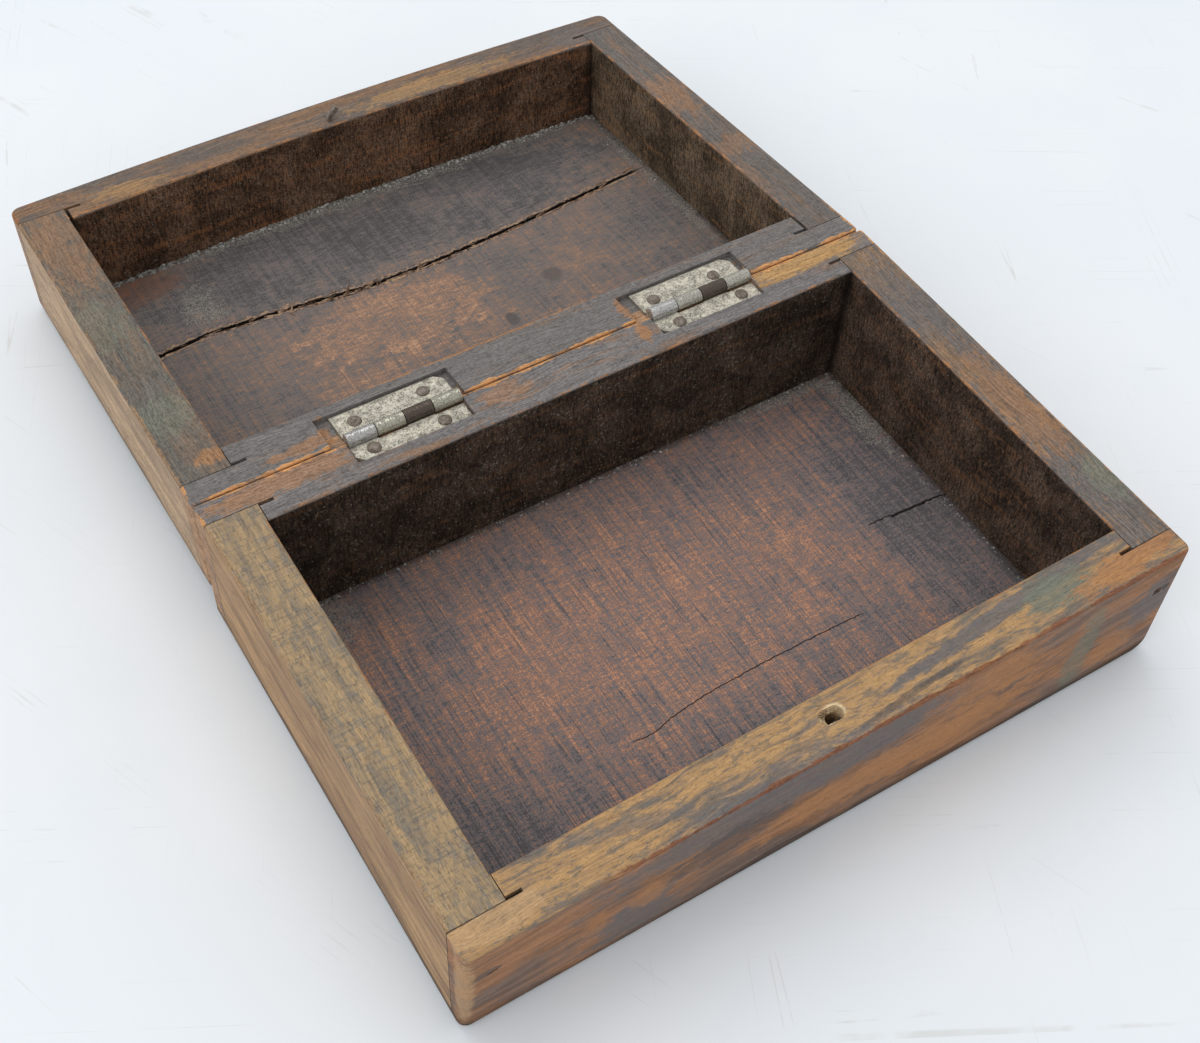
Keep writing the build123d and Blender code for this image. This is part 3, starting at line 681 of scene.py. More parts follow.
@dataclass(frozen=True)
class RailWood:
    """Weathered hardwood of one rail: its own tones, share of grey, weave of marks and stains.

    Attributes:
        node: the CAD node that wears it.
        tray: the rail's tray.
        grain: which way the grain runs.
        seed: moves the figure.
        bare, grey_and_sheen, grey_share: the rim's warm colour, the grey over it (partly weathered wood, partly a
            painted sheen), and its share.
        weave: how strong the short dark marks are.
        flecks: how much bare orange shows in specks.
        face, face_aged, face_age: the outside's warm colour, its stained colour, and the stain's share.
        hollow: the inner wall's light colour.
        arris, edge: the worn outer edge's width in millimetres, and its colour.
        wear_gaps: how broken that edge is.
        worn_from: the place along the hinges where that edge begins.
        ink: the colour of the short dark marks.
        contrast: how strongly fibres and grit shade the colour.
        mottle: how strong the dark blotches are.
        seams: where its dark joint lines run, from the back.
        patches: its own stains and bare places.
    """

    node: str
    tray: Tray
    grain: Grain
    seed: float
    bare: Colour
    grey_and_sheen: Colour
    grey_share: float
    weave: float = 0.4
    flecks: float = 0.4
    face: Colour = (0.40, 0.24, 0.14)
    face_aged: Colour = (0.20, 0.16, 0.15)
    face_age: float = 0.4
    hollow: Colour = (0.075, 0.048, 0.032)
    arris: float = 0.9
    edge: Colour = (0.42, 0.23, 0.11)
    wear_gaps: float = 0.36
    worn_from: float = -900.0
    ink: Colour = (0.085, 0.078, 0.075)
    contrast: float = 0.9
    mottle: float = 0.3
    seams: tuple[float, float] = (-50.0, -50.0)
    patches: tuple[Patch, ...] = ()

    def drawn_out(self, place: Wire) -> Wire:
        """The place stretched for flecks: half way between round and the grain."""
        return place * tuple(0.35 + 0.65 * c if c < 1.0 else 1.0 for c in self.grain.value[0])

    def rim_colour(self, g: TrayCoat) -> Wire:
        """Colours the rim: warm wood under ragged grey, partly weathered wood and partly a painted sheen, with flecks,
        blots and marks.

        Args:
            g: the rail's coat.

        Returns:
            The colour.
        """
        level = g.wood["Streaks"] * 0.40 + g.wood["Cloud"] * 0.38 + g.wood["Grit"] * 0.22
        bar = 0.5 + (0.5 - self.grey_share) * 0.30
        # the grey over the warm wood is partly weathering and partly a painted sheen
        colour = g.mix(g.smooth(level, bar - 0.045, bar + 0.05), self.bare, self.grey_and_sheen)
        rare = 0.70 - 0.2 * self.flecks
        fleck = g.smooth(g.noise(self.drawn_out(g.place), 1.35, 4.0, 0.66), rare, rare + 0.1)
        blot = g.smooth(g.noise(self.drawn_out(g.place), 0.6, 5.0, 0.74), 0.51, 0.60, 0.0, self.mottle)
        marks = g.wood["Cross Marks"] * self.weave
        return g.cover(colour, (fleck * 0.8, ORANGE.value), (blot, shaded(self.ink, 1.35)), (marks, self.ink))

    def face_colour(self, g: TrayCoat) -> Wire:
        """Colours the outside faces.

        Args:
            g: the rail's coat.

        Returns:
            The colour.
        """
        bar = 0.5 + (0.5 - self.face_age) * 0.36
        stain = g.smooth(g.wood["Cloud"] * 0.8 + g.wood["Grit"] * 0.2, bar - 0.07, bar + 0.07)
        colour = g.mix(stain * 0.85, self.face, self.face_aged)
        return colour * g.smooth(g.wood["Streaks"], 0.34, 0.66, 0.76, 1.22)

    def hollow_colour(self, g: TrayCoat) -> Wire:
        """Colours the inner wall: almost black, with a light fuzz and dust low down, and painted shade towards its
        inner corners.

        Args:
            g: the rail's coat.

        Returns:
            The colour.
        """
        dust = shaded(DUST.value, 0.7)
        patchy = g.noise(g.place, 0.09, 4.0, 0.6, 0.4)
        tone = g.mix(g.smooth(patchy, 0.36, 0.64), shaded(self.hollow, 0.40), shaded(self.hollow, 1.04))
        upright = g.noise(g.place * (1.0, 1.0, 0.22), 2.4, 4.0, 0.75)
        tone = tone * g.smooth(upright * 0.5 + g.wood["Grit"] * 0.5, 0.36, 0.64, 0.02, 2.1)
        ember = g.smooth(g.wood["Streaks"] * 0.5 + upright * 0.5, 0.51, 0.63, 0.0, 0.75)
        glow = g.row("VectorMath", 0, (shaded(self.hollow, 2.0), (1.15, 0.85, 0.6)), operation="MULTIPLY")
        tone = g.mix(ember, tone, glow)
        low = g.smooth(g.edges["Foot"], 15.0, 2.5)
        fuzz = g.use(g.effects.dust, Place=g.place, Amount=0.34 + low * 0.30)["Mask"]
        tone = g.mix(fuzz * 0.55, tone, dust)
        bar = 0.635 - (low * 0.045 + g.smooth(patchy, 0.45, 0.65, 0.0, 0.04))
        speck = g.math("MULTIPLY", g.noise(g.place, 1.9, 2.0, 0.6) - bar, 14.0, clamp=True)
        tone = g.mix(speck * 0.8, tone, dust)
        # painted shade: the wall goes near black towards the tray's inner corners
        return g.mix(g.smooth(g.edges["Inner Corner"], 2.2, 0.2) * 0.7, tone, Dark.POCKET.value)

    def end_seam(self, g: TrayCoat) -> Wire:
        """The mask of the dark joint lines at a side rail's two ends."""
        gap = g.math("MINIMUM", *(abs(g.back - seam) for seam in self.seams))
        return g.smooth(gap + (g.noise(g.place, 0.9, 4.0, 0.65) - 0.5) * 0.5, 0.32, 0.10)

    def wear_edges(self, g: TrayCoat, colour: Wire) -> Wire:
        """Wears the edges, darkens the joints, and paints shade along the foot.

        Args:
            g: the rail's coat.
            colour: the colour so far.

        Returns:
            The colour.
        """
        outer, inner, corner = (
            g.use(g.effects.wear, Place=g.place, Distance=g.edges[name], Width=width, Scale=scale, Gaps=gaps)["Mask"]
            for name, width, scale, gaps in (
                ("Outer Rim", self.arris, 0.16, self.wear_gaps),
                ("Inner Rim", 0.5, 0.3, 0.36),
                ("Corner", 0.8, 0.3, 0.42),
            )
        )
        begun = g.smooth(g.x, self.worn_from - 8.0, self.worn_from + 8.0, 0.0, 0.85)
        # painted shade: the foot darkens where the box meets the table, in place of its contact shadow
        foot = g.smooth(g.edges["Foot"] + g.wood["Streaks"] * 4.0, 7.2, 3.7)
        return g.cover(
            colour,
            (g.math("MAXIMUM", outer, corner) * begun, self.edge * g.wood["Tone"]),
            (inner * 0.8, AMBER.value * g.wood["Tone"]),
            (self.end_seam(g) * 0.9, Dark.JOINT.value),
            (foot * self.tray.foot_shade, Dark.FOOT.value),
        )

    def make(self, effects: Effects) -> Material:
        """Builds the material and puts it on the rail.

        Args:
            effects: the shared groups.

        Returns:
            The material.
        """
        g = TrayCoat("wood_" + self.node, effects, self.tray, self.grain, self.seed)
        wood = g.wood
        colour = g.mix(g.edges["Outside"], self.rim_colour(g), self.face_colour(g))
        torn = g.noise(self.drawn_out(g.place), 0.55, 6.0, 0.72)
        for patch in self.patches:
            colour = g.mix(patch.mask(g, torn) * patch.strength, colour, patch.tone.value)
        colour = colour * (wood["Tone"] * self.contrast + (1.0 - self.contrast))
        colour = g.mix(wood["Pores"] * (0.5 * self.contrast), colour, Dark.RAIL_PORE.value)
        colour = g.mix(g.edges["Inside"], self.wear_edges(g, colour), self.hollow_colour(g))
        relief = wood["Fibres"] * 0.5 - (wood["Pores"] * 0.35 + wood["Cross Marks"] * 0.25) + wood["Cloud"] * 0.8
        rough = g.smooth(wood["Fibres"], 0.3, 0.7, 0.55, 0.78)
        normal = g.bump(relief, 0.16 * MM)
        return g.lay(specular=0.14, Base_Color=colour, Roughness=rough, Normal=normal).dress(self.node)


@dataclass(frozen=True)
class Crack:
    """An open crack that runs along the hinges across a floor board.

    Attributes:
        points: its line, along the hinges and from the back, in millimetres.
        width: how wide it opens.
        lip: how wide the pale lip beside it is: torn wood, made brighter as a painted highlight on the raised sliver.
    """

    points: tuple[tuple[float, float], ...]
    width: float
    lip: float = 0.0

    def trace(self, g: TrayCoat) -> tuple[Wire, Wire]:
        """Finds the crack's dark line and its lip.

        Args:
            g: the board's coat.

        Returns:
            The masks of the line and the lip.
        """
        start, long = self.points[0][0], self.points[-1][0] - self.points[0][0]
        lowest, highest = min(p[1] for p in self.points) - 1.0, max(p[1] for p in self.points) + 1.0
        node = g.add("FloatCurve")
        curve = node.mapping.curves[0]
        for _ in self.points[2:]:
            curve.points.new(0.5, 0.5)
        for point, (px, pv) in zip(curve.points, self.points):
            point.location = ((px - start) / long, (pv - lowest) / (highest - lowest))
            point.handle_type = "VECTOR"
        node.mapping.update()
        share = (g.x - start) / long
        g.feed(node.inputs["Value"], share)
        tremble = g.noise(g.join(g.x), 0.55, 5.0, 0.65)
        line = Wire(g, node.outputs[0]) * (highest - lowest) + lowest + (tremble - 0.5) * 1.3
        away = abs(g.back - line)
        ends = g.smooth(share, 0.0, 0.03) * g.smooth(share, 1.0, 0.97)
        opening = g.smooth(tremble, 0.25, 0.75, 0.6, 1.4) * (self.width / 2) * ends
        dark = g.smooth(opening - away, -0.06, 0.05) * ends
        lip = g.smooth(opening + g.smooth(tremble, 0.35, 0.6, 0.3, 1.8) * self.lip - away, -0.1, 0.2) * ends
        return dark, lip * (1.0 if self.lip else 0.0)


@dataclass(frozen=True)
class SawnBoard:
    """Dusty floor of a tray: stained wood with fine saw lines across it and cracks, and painted shade along its walls.

    Attributes:
        node: the CAD node that wears it.
        tray: the board's tray.
        seed: moves the figure.
        warm: the bare red-brown of the raised grain.
        cold: the blue-grey stain.
        grey_share: the share of the blue-grey stain.
        saw: how strong the saw lines are.
        speckle: how strong the fine specks are.
        drift: how much the tone drifts over the board.
        cracks: its cracks.
        patches: its own stains and bare places.
    """

    node: str
    tray: Tray
    seed: float
    warm: Colour
    cold: Colour
    grey_share: float
    saw: float
    speckle: float
    drift: float
    cracks: tuple[Crack, ...]
    patches: tuple[Patch, ...]

    def wood_colour(self, g: Graph, level: Wire) -> Wire:
        """Colours the sawn wood from cold hollows to warm raised grain; level runs about 0.5."""
        between = tuple((c + w) / 2.2 for c, w in zip(self.cold, self.warm))
        stops = (0.26, shaded(self.cold, 0.50)), (0.42, self.cold), (0.52, between)
        shift = 0.5 - (0.5 + (self.grey_share - 0.5) * 0.3)
        return g.ramp(level + shift, *stops, (0.61, self.warm), (0.76, shaded(self.warm, 1.7)))

    def under_colour(self, g: TrayCoat) -> Wire:
        """Colours the board's underside.

        Args:
            g: the board's coat.

        Returns:
            The colour.
        """
        stain = g.smooth(g.wood["Cloud"], 0.47, 0.60, 0.0, 0.75)
        rust = g.smooth(g.noise(g.place * (0.3, 1.0, 1.0), 0.22, 5.0, 0.7), 0.55, 0.64, 0.0, 0.5)
        under = g.mix(g.smooth(g.wood["Streaks"], 0.35, 0.65), (0.16, 0.10, 0.062), (0.29, 0.19, 0.12))
        under = g.cover(under, (stain, shaded(self.cold, 0.85)), (rust, RUST.value))
        return g.mix(g.wood["Pores"] * 0.5, under * g.wood["Tone"], Dark.BOARD_PORE.value)

    def make(self, effects: Effects) -> Material:
        """Builds the material and puts it on the board.

        Args:
            effects: the shared groups.

        Returns:
            The material.
        """
        g = TrayCoat("wood_" + self.node, effects, self.tray, Grain.ALONG_HINGES, self.seed)
        place, gap = g.place, g.edges["Wall Gap"]
        sawn = place * (1.0, 0.02, 0.0)
        coarse, fine = g.noise(sawn, 1.0, 2.0, 0.6), g.noise(sawn, 3.6, 2.0, 0.7)
        lines = coarse * 0.55 + fine * 0.45
        rows = g.noise(place * (0.22, 1.0, 0.0), 1.5, 4.0, 0.75)
        specks = g.noise(place, 3.4, 3.0, 0.75)
        region = g.noise(place * (0.6, 1.0, 0.0), 0.07, 4.0, 0.65)
        torn = g.noise(place * (0.5, 0.8, 1.0), 0.5, 5.0, 0.7)
        level = 0.5
        for part, share in ((lines, 1.5 * self.saw), (rows, 0.75), (specks, self.speckle), (region, self.drift)):
            level = level + (part - 0.5) * share
        tilt = {ORANGE: 0.13, SLATE: -0.13}
        for patch in self.patches:
            if patch.tone in tilt:
                level = level + patch.mask(g, torn) * (tilt[patch.tone] * patch.strength)
        colour = self.wood_colour(g, level)
        for patch in self.patches:
            if patch.tone not in (*tilt, DUST):
                mask = patch.mask(g, torn) * patch.strength * g.smooth(level, 0.40, 0.56, 0.45, 1.0)
                colour = g.mix(mask, colour, patch.tone.value)
        pale_saw = g.smooth(fine, 0.60, 0.70) * g.smooth(specks, 0.4, 0.6)
        grains = g.use(effects.dust, Place=place, Amount=0.1 + g.smooth(gap, 11.0, 0.0) * 0.42)
        colour = g.cover(
            colour,
            (g.smooth(fine, 0.40, 0.33) * self.saw, Dark.SAW.value),
            (pale_saw * (0.5 * self.saw), (0.30, 0.24, 0.22)),
            # painted shade on the floor close to the walls
            (g.smooth(gap, 2.2, 0.2) * 0.7, Dark.FLOOR_EDGE.value),
            (grains["Mask"] * 0.6, (0.37, 0.34, 0.29)),
        )
        for patch in self.patches:
            if patch.tone is DUST:
                spot = patch.mask(g, torn)
                powder = g.smooth(specks + spot * 0.10, 0.56, 0.70)
                colour = g.mix(powder * spot * patch.strength, colour, patch.tone.value)
        relief = lines * 1.2 + rows * 0.6
        for crack in self.cracks:
            dark, lip = crack.trace(g)
            # the pale lip: torn wood, made brighter as a painted highlight on the raised sliver
            lip_wood_and_highlight = lip * g.smooth(rows, 0.40, 0.55, 0.0, 0.85)
            colour = g.cover(colour, (lip_wood_and_highlight, (0.40, 0.26, 0.17)), (dark, Dark.CRACK.value))
            relief = relief + lip * 1.2 - dark * 6.0
        top = g.math("COMPARE", g.depth, self.tray.floor, 1.2)
        colour = g.mix(top, self.under_colour(g), colour)
        normal = g.bump(relief + grains["Height"] * 0.8, 0.2 * MM)
        rough = g.smooth(rows, 0.3, 0.7, 0.55, 0.78)
        return g.lay(specular=0.2, Base_Color=colour, Roughness=rough, Normal=normal).dress(self.node)


@dataclass(frozen=True)
class HingeMetal:
    """Dull plated steel that has gone chalky on its leaves and stays bright on its knuckles.

    Attributes:
        barrel: the knuckles' colour.
        seed: moves the speckle.
        brown_from: the place along the hinges past which a knuckle is browner.
        chalk: the leaves' pale matt colour.
        steel: the rubbed metal's colour.
        soot: the grey-brown speckle.
        pin: the hinge line in the frame, in millimetres.
    """

    barrel: Colour
    seed: float
    brown_from: float = 900.0
    chalk: Colour = (0.68, 0.63, 0.51)
    steel: Colour = (0.40, 0.40, 0.39)
    soot: Colour = (0.085, 0.07, 0.052)
    pin: tuple[float, float, float] = (0.0, 52.0, 34.35)

    def rim_gap(self, g: Graph, here: Wire, node: str) -> Wire:
        """Measures how far each point is from the leaf's free edges.

        Args:
            g: the material's graph.
            here: the point in the frame's millimetres.
            node: the CAD node of the leaf.

        Returns:
            The distance in millimetres.
        """
        low, high = (Vector(corner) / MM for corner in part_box(node))
        x, y, _ = g.split(here)
        free = y - low.y if low.y < self.pin[1] - 3.0 else high.y - y
        return g.math("MINIMUM", x - low.x, g.math("MINIMUM", high.x - x, free))

    def make(self, node: str) -> Material:
        """Builds the material and puts it on one leaf.

        Args:
            node: the CAD node that wears it.

        Returns:
            The material.
        """
        g = Coat(node + "_metal")
        here = g.here()
        spot = here + (self.seed * 17.0, self.seed * 31.0, self.seed * 11.0)
        from_pin = g.row("VectorMath", "Value", ((here - self.pin) * (0.0, 1.0, 1.0),), operation="LENGTH")
        on_barrel = g.smooth(from_pin, 1.9, 1.55)
        rust = g.smooth(g.split(here)[0], self.brown_from - 0.2, self.brown_from + 0.2)
        cloud, speckle = g.noise(spot, 0.5, 5.0, 0.7), g.noise(spot, 3.0, 4.0, 0.72)
        streak = g.noise(spot * (0.25, 1.0, 1.0), 1.6, 3.0, 0.6)
        leaf = g.mix(g.smooth(cloud, 0.36, 0.64), self.chalk, shaded(self.chalk, 0.62))
        rubbed = g.smooth(streak, 0.52, 0.70, 0.0, 0.5)
        dirt = g.smooth(speckle * 0.75 + cloud * 0.25, 0.49, 0.60)
        # the leaf goes darker towards its free edges
        leaf_edge_darkening = g.smooth(self.rim_gap(g, here, node) + cloud * 1.2, 0.95, 0.5)
        leaf = g.cover(leaf, (rubbed, self.steel), (dirt * 0.66, self.soot), (leaf_edge_darkening * 0.65, Dark.GRIME.value))
        sooty = g.smooth(speckle, 0.52, 0.64, 0.0, 0.7)
        barrel = g.cover(self.barrel, (rust, Dark.BARREL_RUST.value), (sooty, self.soot))
        metal = g.smooth(streak, 0.45, 0.7, 0.1, 0.5), g.smooth(speckle, 0.6, 0.45, 0.3, 0.95)
        rough = g.smooth(speckle, 0.3, 0.7, 0.45, 0.75), g.smooth(speckle, 0.4, 0.6, 0.2, 0.48)
        return g.lay(
            Base_Color=g.mix(on_barrel, leaf, barrel), Metallic=g.mix(on_barrel, *metal),
            Roughness=g.mix(on_barrel, *rough), Normal=g.bump(cloud * 0.8 - dirt * 0.6, 0.12 * MM, 0.8),
        ).dress(node)


@dataclass(frozen=True)
class OldIron:
    """Brown iron of the nails: rust over dark metal, rubbed paler on the crowns.

    Attributes:
        bright: the rubbed crown's colour.
        rust: the rust.
        dark: the dark metal in the hollows.
        metal: how metallic the rubbed places are.
    """

    bright: Colour = (0.31, 0.28, 0.24)
    rust: Colour = (0.155, 0.115, 0.085)
    dark: Colour = (0.035, 0.028, 0.024)
    metal: float = 0.4

    def make(self, name: str, nodes: Sequence[str]) -> Material:
        """Builds the material and puts it on nails.

        Args:
            name: the material's name.
            nodes: the CAD nodes that wear it.

        Returns:
            The material.
        """
        g = Coat(name)
        here = g.here()
        cloud, pits = g.noise(here, 1.1, 4.0, 0.65), g.noise(here, 4.5, 3.0, 0.7)
        colour = g.ramp(cloud * 0.6 + pits * 0.4, (0.36, self.dark), (0.48, self.rust), (0.62, self.bright))
        return g.lay(
            Base_Color=colour, Metallic=g.smooth(cloud, 0.4, 0.65, 0.0, self.metal),
            Roughness=g.smooth(pits, 0.3, 0.7, 0.4, 0.7), Normal=g.bump(pits, 0.1 * MM, 0.8),
        ).dress(*nodes)


@dataclass(frozen=True)
class LooseDirt:
    """Matt crumbs: dust, or splintered wood, from pale to dark.

    Attributes:
        name: the material's name.
        dark: the darkest crumbs.
        middle: the usual ones.
        pale: the palest.
        scale: how quickly the colour changes, per millimetre.
    """

    name: str
    dark: Colour
    middle: Colour
    pale: Colour
    scale: float

    def make(self) -> Material:
        """Builds the material.

        Returns:
            The material.
        """
        g = Coat(self.name)
        here = g.here()
        cloud, fine = g.noise(here, self.scale, 4.0, 0.7), g.noise(here, 6.0, 2.0, 0.6)
        colour = g.ramp(cloud, (0.36, self.dark), (0.5, self.middle), (0.64, self.pale))
        rough = g.smooth(fine, 0.3, 0.7, 0.75, 0.95)
        normal = g.bump(fine, 0.05 * MM, 0.6)
        return g.lay(specular=0.15, Base_Color=colour, Roughness=rough, Normal=normal).material


def box_rails() -> list[RailWood]:
    """The eight rails' finishes, with the stains and bare places that the box shows.

    Returns:
        One finish a rail.
    """
    along, deep = Grain.ALONG_HINGES, Grain.FRONT_TO_BACK
    base_ends, lid_ends = (5.2, 98.5), (5.4, 97.8)
    # the back rails' worn edge along the seam: bare orange wood, made brighter as a painted highlight
    lit_edge = {"edge": (0.62, 0.30, 0.11), "wear_gaps": 0.32}
    return [
        RailWood(
            "base_front_rail", BASE, along, 1.0, bare=(0.46, 0.275, 0.125), grey_and_sheen=(0.19, 0.15, 0.12), grey_share=0.45,
            weave=0.12, flecks=0.25, face=(0.32, 0.158, 0.08), face_aged=(0.17, 0.125, 0.105), face_age=0.46,
            arris=0.6, edge=(0.21, 0.08, 0.04), wear_gaps=0.16, worn_from=-52.0, ink=(0.10, 0.10, 0.09),
            contrast=0.5, mottle=0.6,
            patches=(
                Patch(PITH, (-2, 97, 1), (2.6, 2, 2.6), ragged=0.12),
                *on_rim((SLATE, 38, 95.5, 34, 1.8, 0.85, 0.5, 0.10)),
                *on_level(0, 1.5, (INK, 12, 101, 14, 0.8, 0.6, 0.5, 0.08)),
                *on_rim(
                    (SLATE, -46, 97, 13, 1.4, 0.5, 0.8, -0.2),
                    (MOSS, 50, 97, 9, 4),
                    (AMBER, 66, 99, 14, 3, 0.7, 0.8, 0.1),
                ),
                *on_level(0, 2.5, (STRAW, -72, 100.5, 10, 3, 0.8, 0.4)),
                Patch(STRAW, (-79, 103, 17), (2.6, 3, 17), 0.6, 0.35),
                *on_front(
                    (SLATE, -14, 5, 40, 7.5, 0.75, 0.5),
                    (INK, -26, 14, 12, 5.5, 0.6, 0.7),
                    (SLATE, -45, 25, 9, 8, 0.75, 0.8),
                    (AMBER, 14, 20, 36, 6.5, 0.75),
                    (AMBER, 34, 9, 12, 7, 0.6, 0.7),
                    (AMBER, -43, 17, 3.5, 4, 0.6, 0.8),
                    (AMBER, -53, 17, 3, 6, 0.5, 0.8),
                    (AMBER, 66, 24, 7, 5, 0.6, 0.7),
                    (MOSS, 57, 18, 3.5, 15, 0.6),
                    (SLATE, 73, 14, 6, 8, 0.65, 0.7),
                ),
                Patch(INK, (76, FRONT_FACE, 10), (1.3, 3, 1.2), 0.95, 0.4),
                Patch(INK, (-74.5, FRONT_FACE, 10.5), (3, 3, 1.6), 0.7, 0.5),
            ),
        ),
        RailWood(
            "base_back_rail", BASE, along, 2.0, bare=(0.28, 0.175, 0.115), grey_and_sheen=(0.195, 0.182, 0.177), grey_share=0.66,
            weave=0.35, hollow=(0.060, 0.041, 0.030), arris=1.0, **lit_edge,
            patches=on_rim(
                (ORANGE, -62, 2.6, 15.5, 3, 0.6),
                (GOLD, 62, 2.2, 16, 2.8),
                (ORANGE, -14, 3.6, 6, 2.6, 0.5, 0.9),
                (ORANGE, 19.5, 3, 1.4, 3, 0.8, 0.7),
            ),
        ),
        RailWood(
            "base_left_rail", BASE, deep, 3.0, bare=(0.40, 0.275, 0.15), grey_and_sheen=(0.27, 0.205, 0.135), grey_share=0.45,
            weave=0.55, flecks=0.1, face=(0.40, 0.25, 0.135), face_aged=(0.27, 0.17, 0.105), face_age=0.45,
            edge=(0.30, 0.19, 0.105), ink=(0.12, 0.12, 0.115), contrast=0.5, mottle=0.5, seams=base_ends,
        ),
        RailWood(
            "base_right_rail", BASE, deep, 4.0, bare=(0.25, 0.165, 0.105), grey_and_sheen=(0.165, 0.143, 0.13), grey_share=0.52,
            flecks=0.62, hollow=(0.085, 0.056, 0.040), seams=(base_ends[0], 97.1),
            patches=on_rim(
                (ORANGE, 74, 58, 5, 17, 0.45, 1),
                (MOSS, 76.5, 81, 3.4, 6.5, 0.6),
                (SLATE, 73, 22, 5, 12, 0.45, 0.9),
            ),
        ),
        RailWood(
            "lid_front_rail", LID, along, 5.0, bare=(0.26, 0.155, 0.092), grey_and_sheen=(0.155, 0.125, 0.107), grey_share=0.52,
            flecks=0.45, hollow=(0.125, 0.070, 0.042), edge=(0.30, 0.13, 0.06),
            patches=on_rim(
                (GOLD, 24, 98.5, 22, 3, 0.42, 0.8),
                (GOLD, -54, 97.5, 9, 2.6, 0.4, 0.8),
                (SLATE, 66, 98, 9, 4, 0.6, 0.7),
            ),
        ),
        RailWood(
            "lid_back_rail", LID, along, 6.0, bare=(0.24, 0.16, 0.11), grey_and_sheen=(0.18, 0.167, 0.16), grey_share=0.75,
            weave=0.35, flecks=0.35, **lit_edge,
            patches=(
                *on_level(0, 1.2, (ORANGE, -10, 11.2, 32, 0.75, 0.9, 0.7)),
                *on_level(0, 1.5, (ORANGE, -55, 2.8, 7, 1.6, 0.6, 0.8)),
                *on_rim((ORANGE, -49, 4, 1.6, 4.6, 0.85), (ORANGE, 20, 4, 1.6, 4, 0.7, 0.7)),
            ),
        ),
        RailWood(
            "lid_left_rail", LID, deep, 7.0, bare=(0.205, 0.150, 0.108), grey_and_sheen=(0.145, 0.132, 0.112), grey_share=0.54,
            weave=0.45, flecks=0.25, face=(0.46, 0.32, 0.205), face_aged=(0.33, 0.23, 0.155), face_age=0.45,
            edge=(0.30, 0.19, 0.11), seams=lid_ends,
            patches=on_rim(
                (MOSS, -74, 24.5, 6.5, 6, 0.5, 0.8),
                (MOSS, -75, 56.5, 5, 8.5, 0.42, 0.9),
                (ORANGE, -70.5, 10, 4, 2.2, 0.7),
                (AMBER, -74, 86, 6, 17, 0.28, 1),
            ),
        ),
        RailWood(
            "lid_right_rail", LID, deep, 8.0, bare=(0.225, 0.15, 0.105), grey_and_sheen=(0.155, 0.137, 0.125), grey_share=0.60,
            flecks=0.42, hollow=(0.135, 0.095, 0.062), seams=lid_ends,
            patches=on_rim((ORANGE, 72, 64, 5, 9, 0.4, 0.9), (ORANGE, 73, 40, 5, 4, 0.35, 0.9)),
        ),
    ]


LID_CRACK = Crack(
    (
        (-69, 64.6), (-63.1, 65.3), (-50.7, 66.6), (-33.2, 65.1), (-12, 62.5), (5.1, 62.6), (25.9, 64),
        (53.5, 66.6), (66.6, 67.7),
    ),
    0.9, 0.7,
)


def box_floors() -> list[SawnBoard]:
    """The two floor boards' finishes.

    Returns:
        The base's and the lid's.
    """
    return [
        SawnBoard(
            "base_bottom_board", BASE, 9.0, warm=(0.36, 0.183, 0.112), cold=(0.19, 0.170, 0.177), grey_share=0.62, saw=0.6,
            speckle=1.2, drift=0.36,
            cracks=(
                Crack(
                    ((-24, 69.7), (-19, 70), (-14, 68.8), (-5, 67.8), (8, 67.5), (21.5, 67.6), (34.1, 68)), 0.13
                ),
                Crack(((49, 50.3), (51, 50.3), (53, 50.4), (55, 50.5)), 0.2),
                Crack(((54.5, 50.9), (57, 50.9), (60, 51.2), (63.5, 51.4)), 0.5),
                Crack(((62.8, 51.1), (65, 51.4), (67, 51.6), (69, 51.9)), 0.4),
            ),
            patches=on_level(
                31.0, FLOOR_REACH,
                (ORANGE, -6, 48, 46, 26, 0.5, 0.5),
                (SLATE, 60, 60, 12, 44, 0.9, 0.5),
                (DUST, -64, 14, 9, 10, 0.7),
                (DUST, 66.5, 22, 3.6, 14, 0.95, 0.7),
                (DUST, 55, 10.5, 16, 2.6, 0.8, 0.7),
                (DUST, 65.5, 85, 2.2, 6, 0.7),
                (SLATE, -58, 78, 16, 14, 0.8, 0.5),
                (SLATE, 5, 84, 50, 6, 0.6),
                (SLATE, -66, 50, 5, 50),
            ),
        ),
        SawnBoard(
            "lid_top_board", LID, 10.0, warm=(0.31, 0.18, 0.115), cold=(0.165, 0.15, 0.146), grey_share=0.66, saw=0.32,
            speckle=0.8, drift=0.5, cracks=(LID_CRACK,),
            patches=on_level(
                21.0, FLOOR_REACH,
                (ORANGE, -12, 50, 24, 13, 0.9, 0.7),
                (ORANGE, -10, 30, 30, 12, 0.5, 0.7),
                (SLATE, 0, 82, 70, 16, 0.9, 0.4),
                (DUST, -49, 76, 5, 7, 0.7),
                (DUST, 66.5, 60, 2.4, 30, 0.6),
                (DUST, 0, 94.3, 70, 3.4, 0.8, 0.8),
                (INK, 10, 35, 1.6, 2.6, 0.8, 0.3),
                (INK, 25.6, 44, 2.8, 2.6, 0.6, 0.3),
                (RUST, -58, 89, 10, 6, 0.6),
            ),
        ),
    ]


def show(name: str, data: bpy.types.ID) -> Piece:
    """Makes an object from its data and links it to the scene."""
    thing = bpy.data.objects.new(name, data)
    bpy.context.scene.collection.objects.link(thing)
    return thing


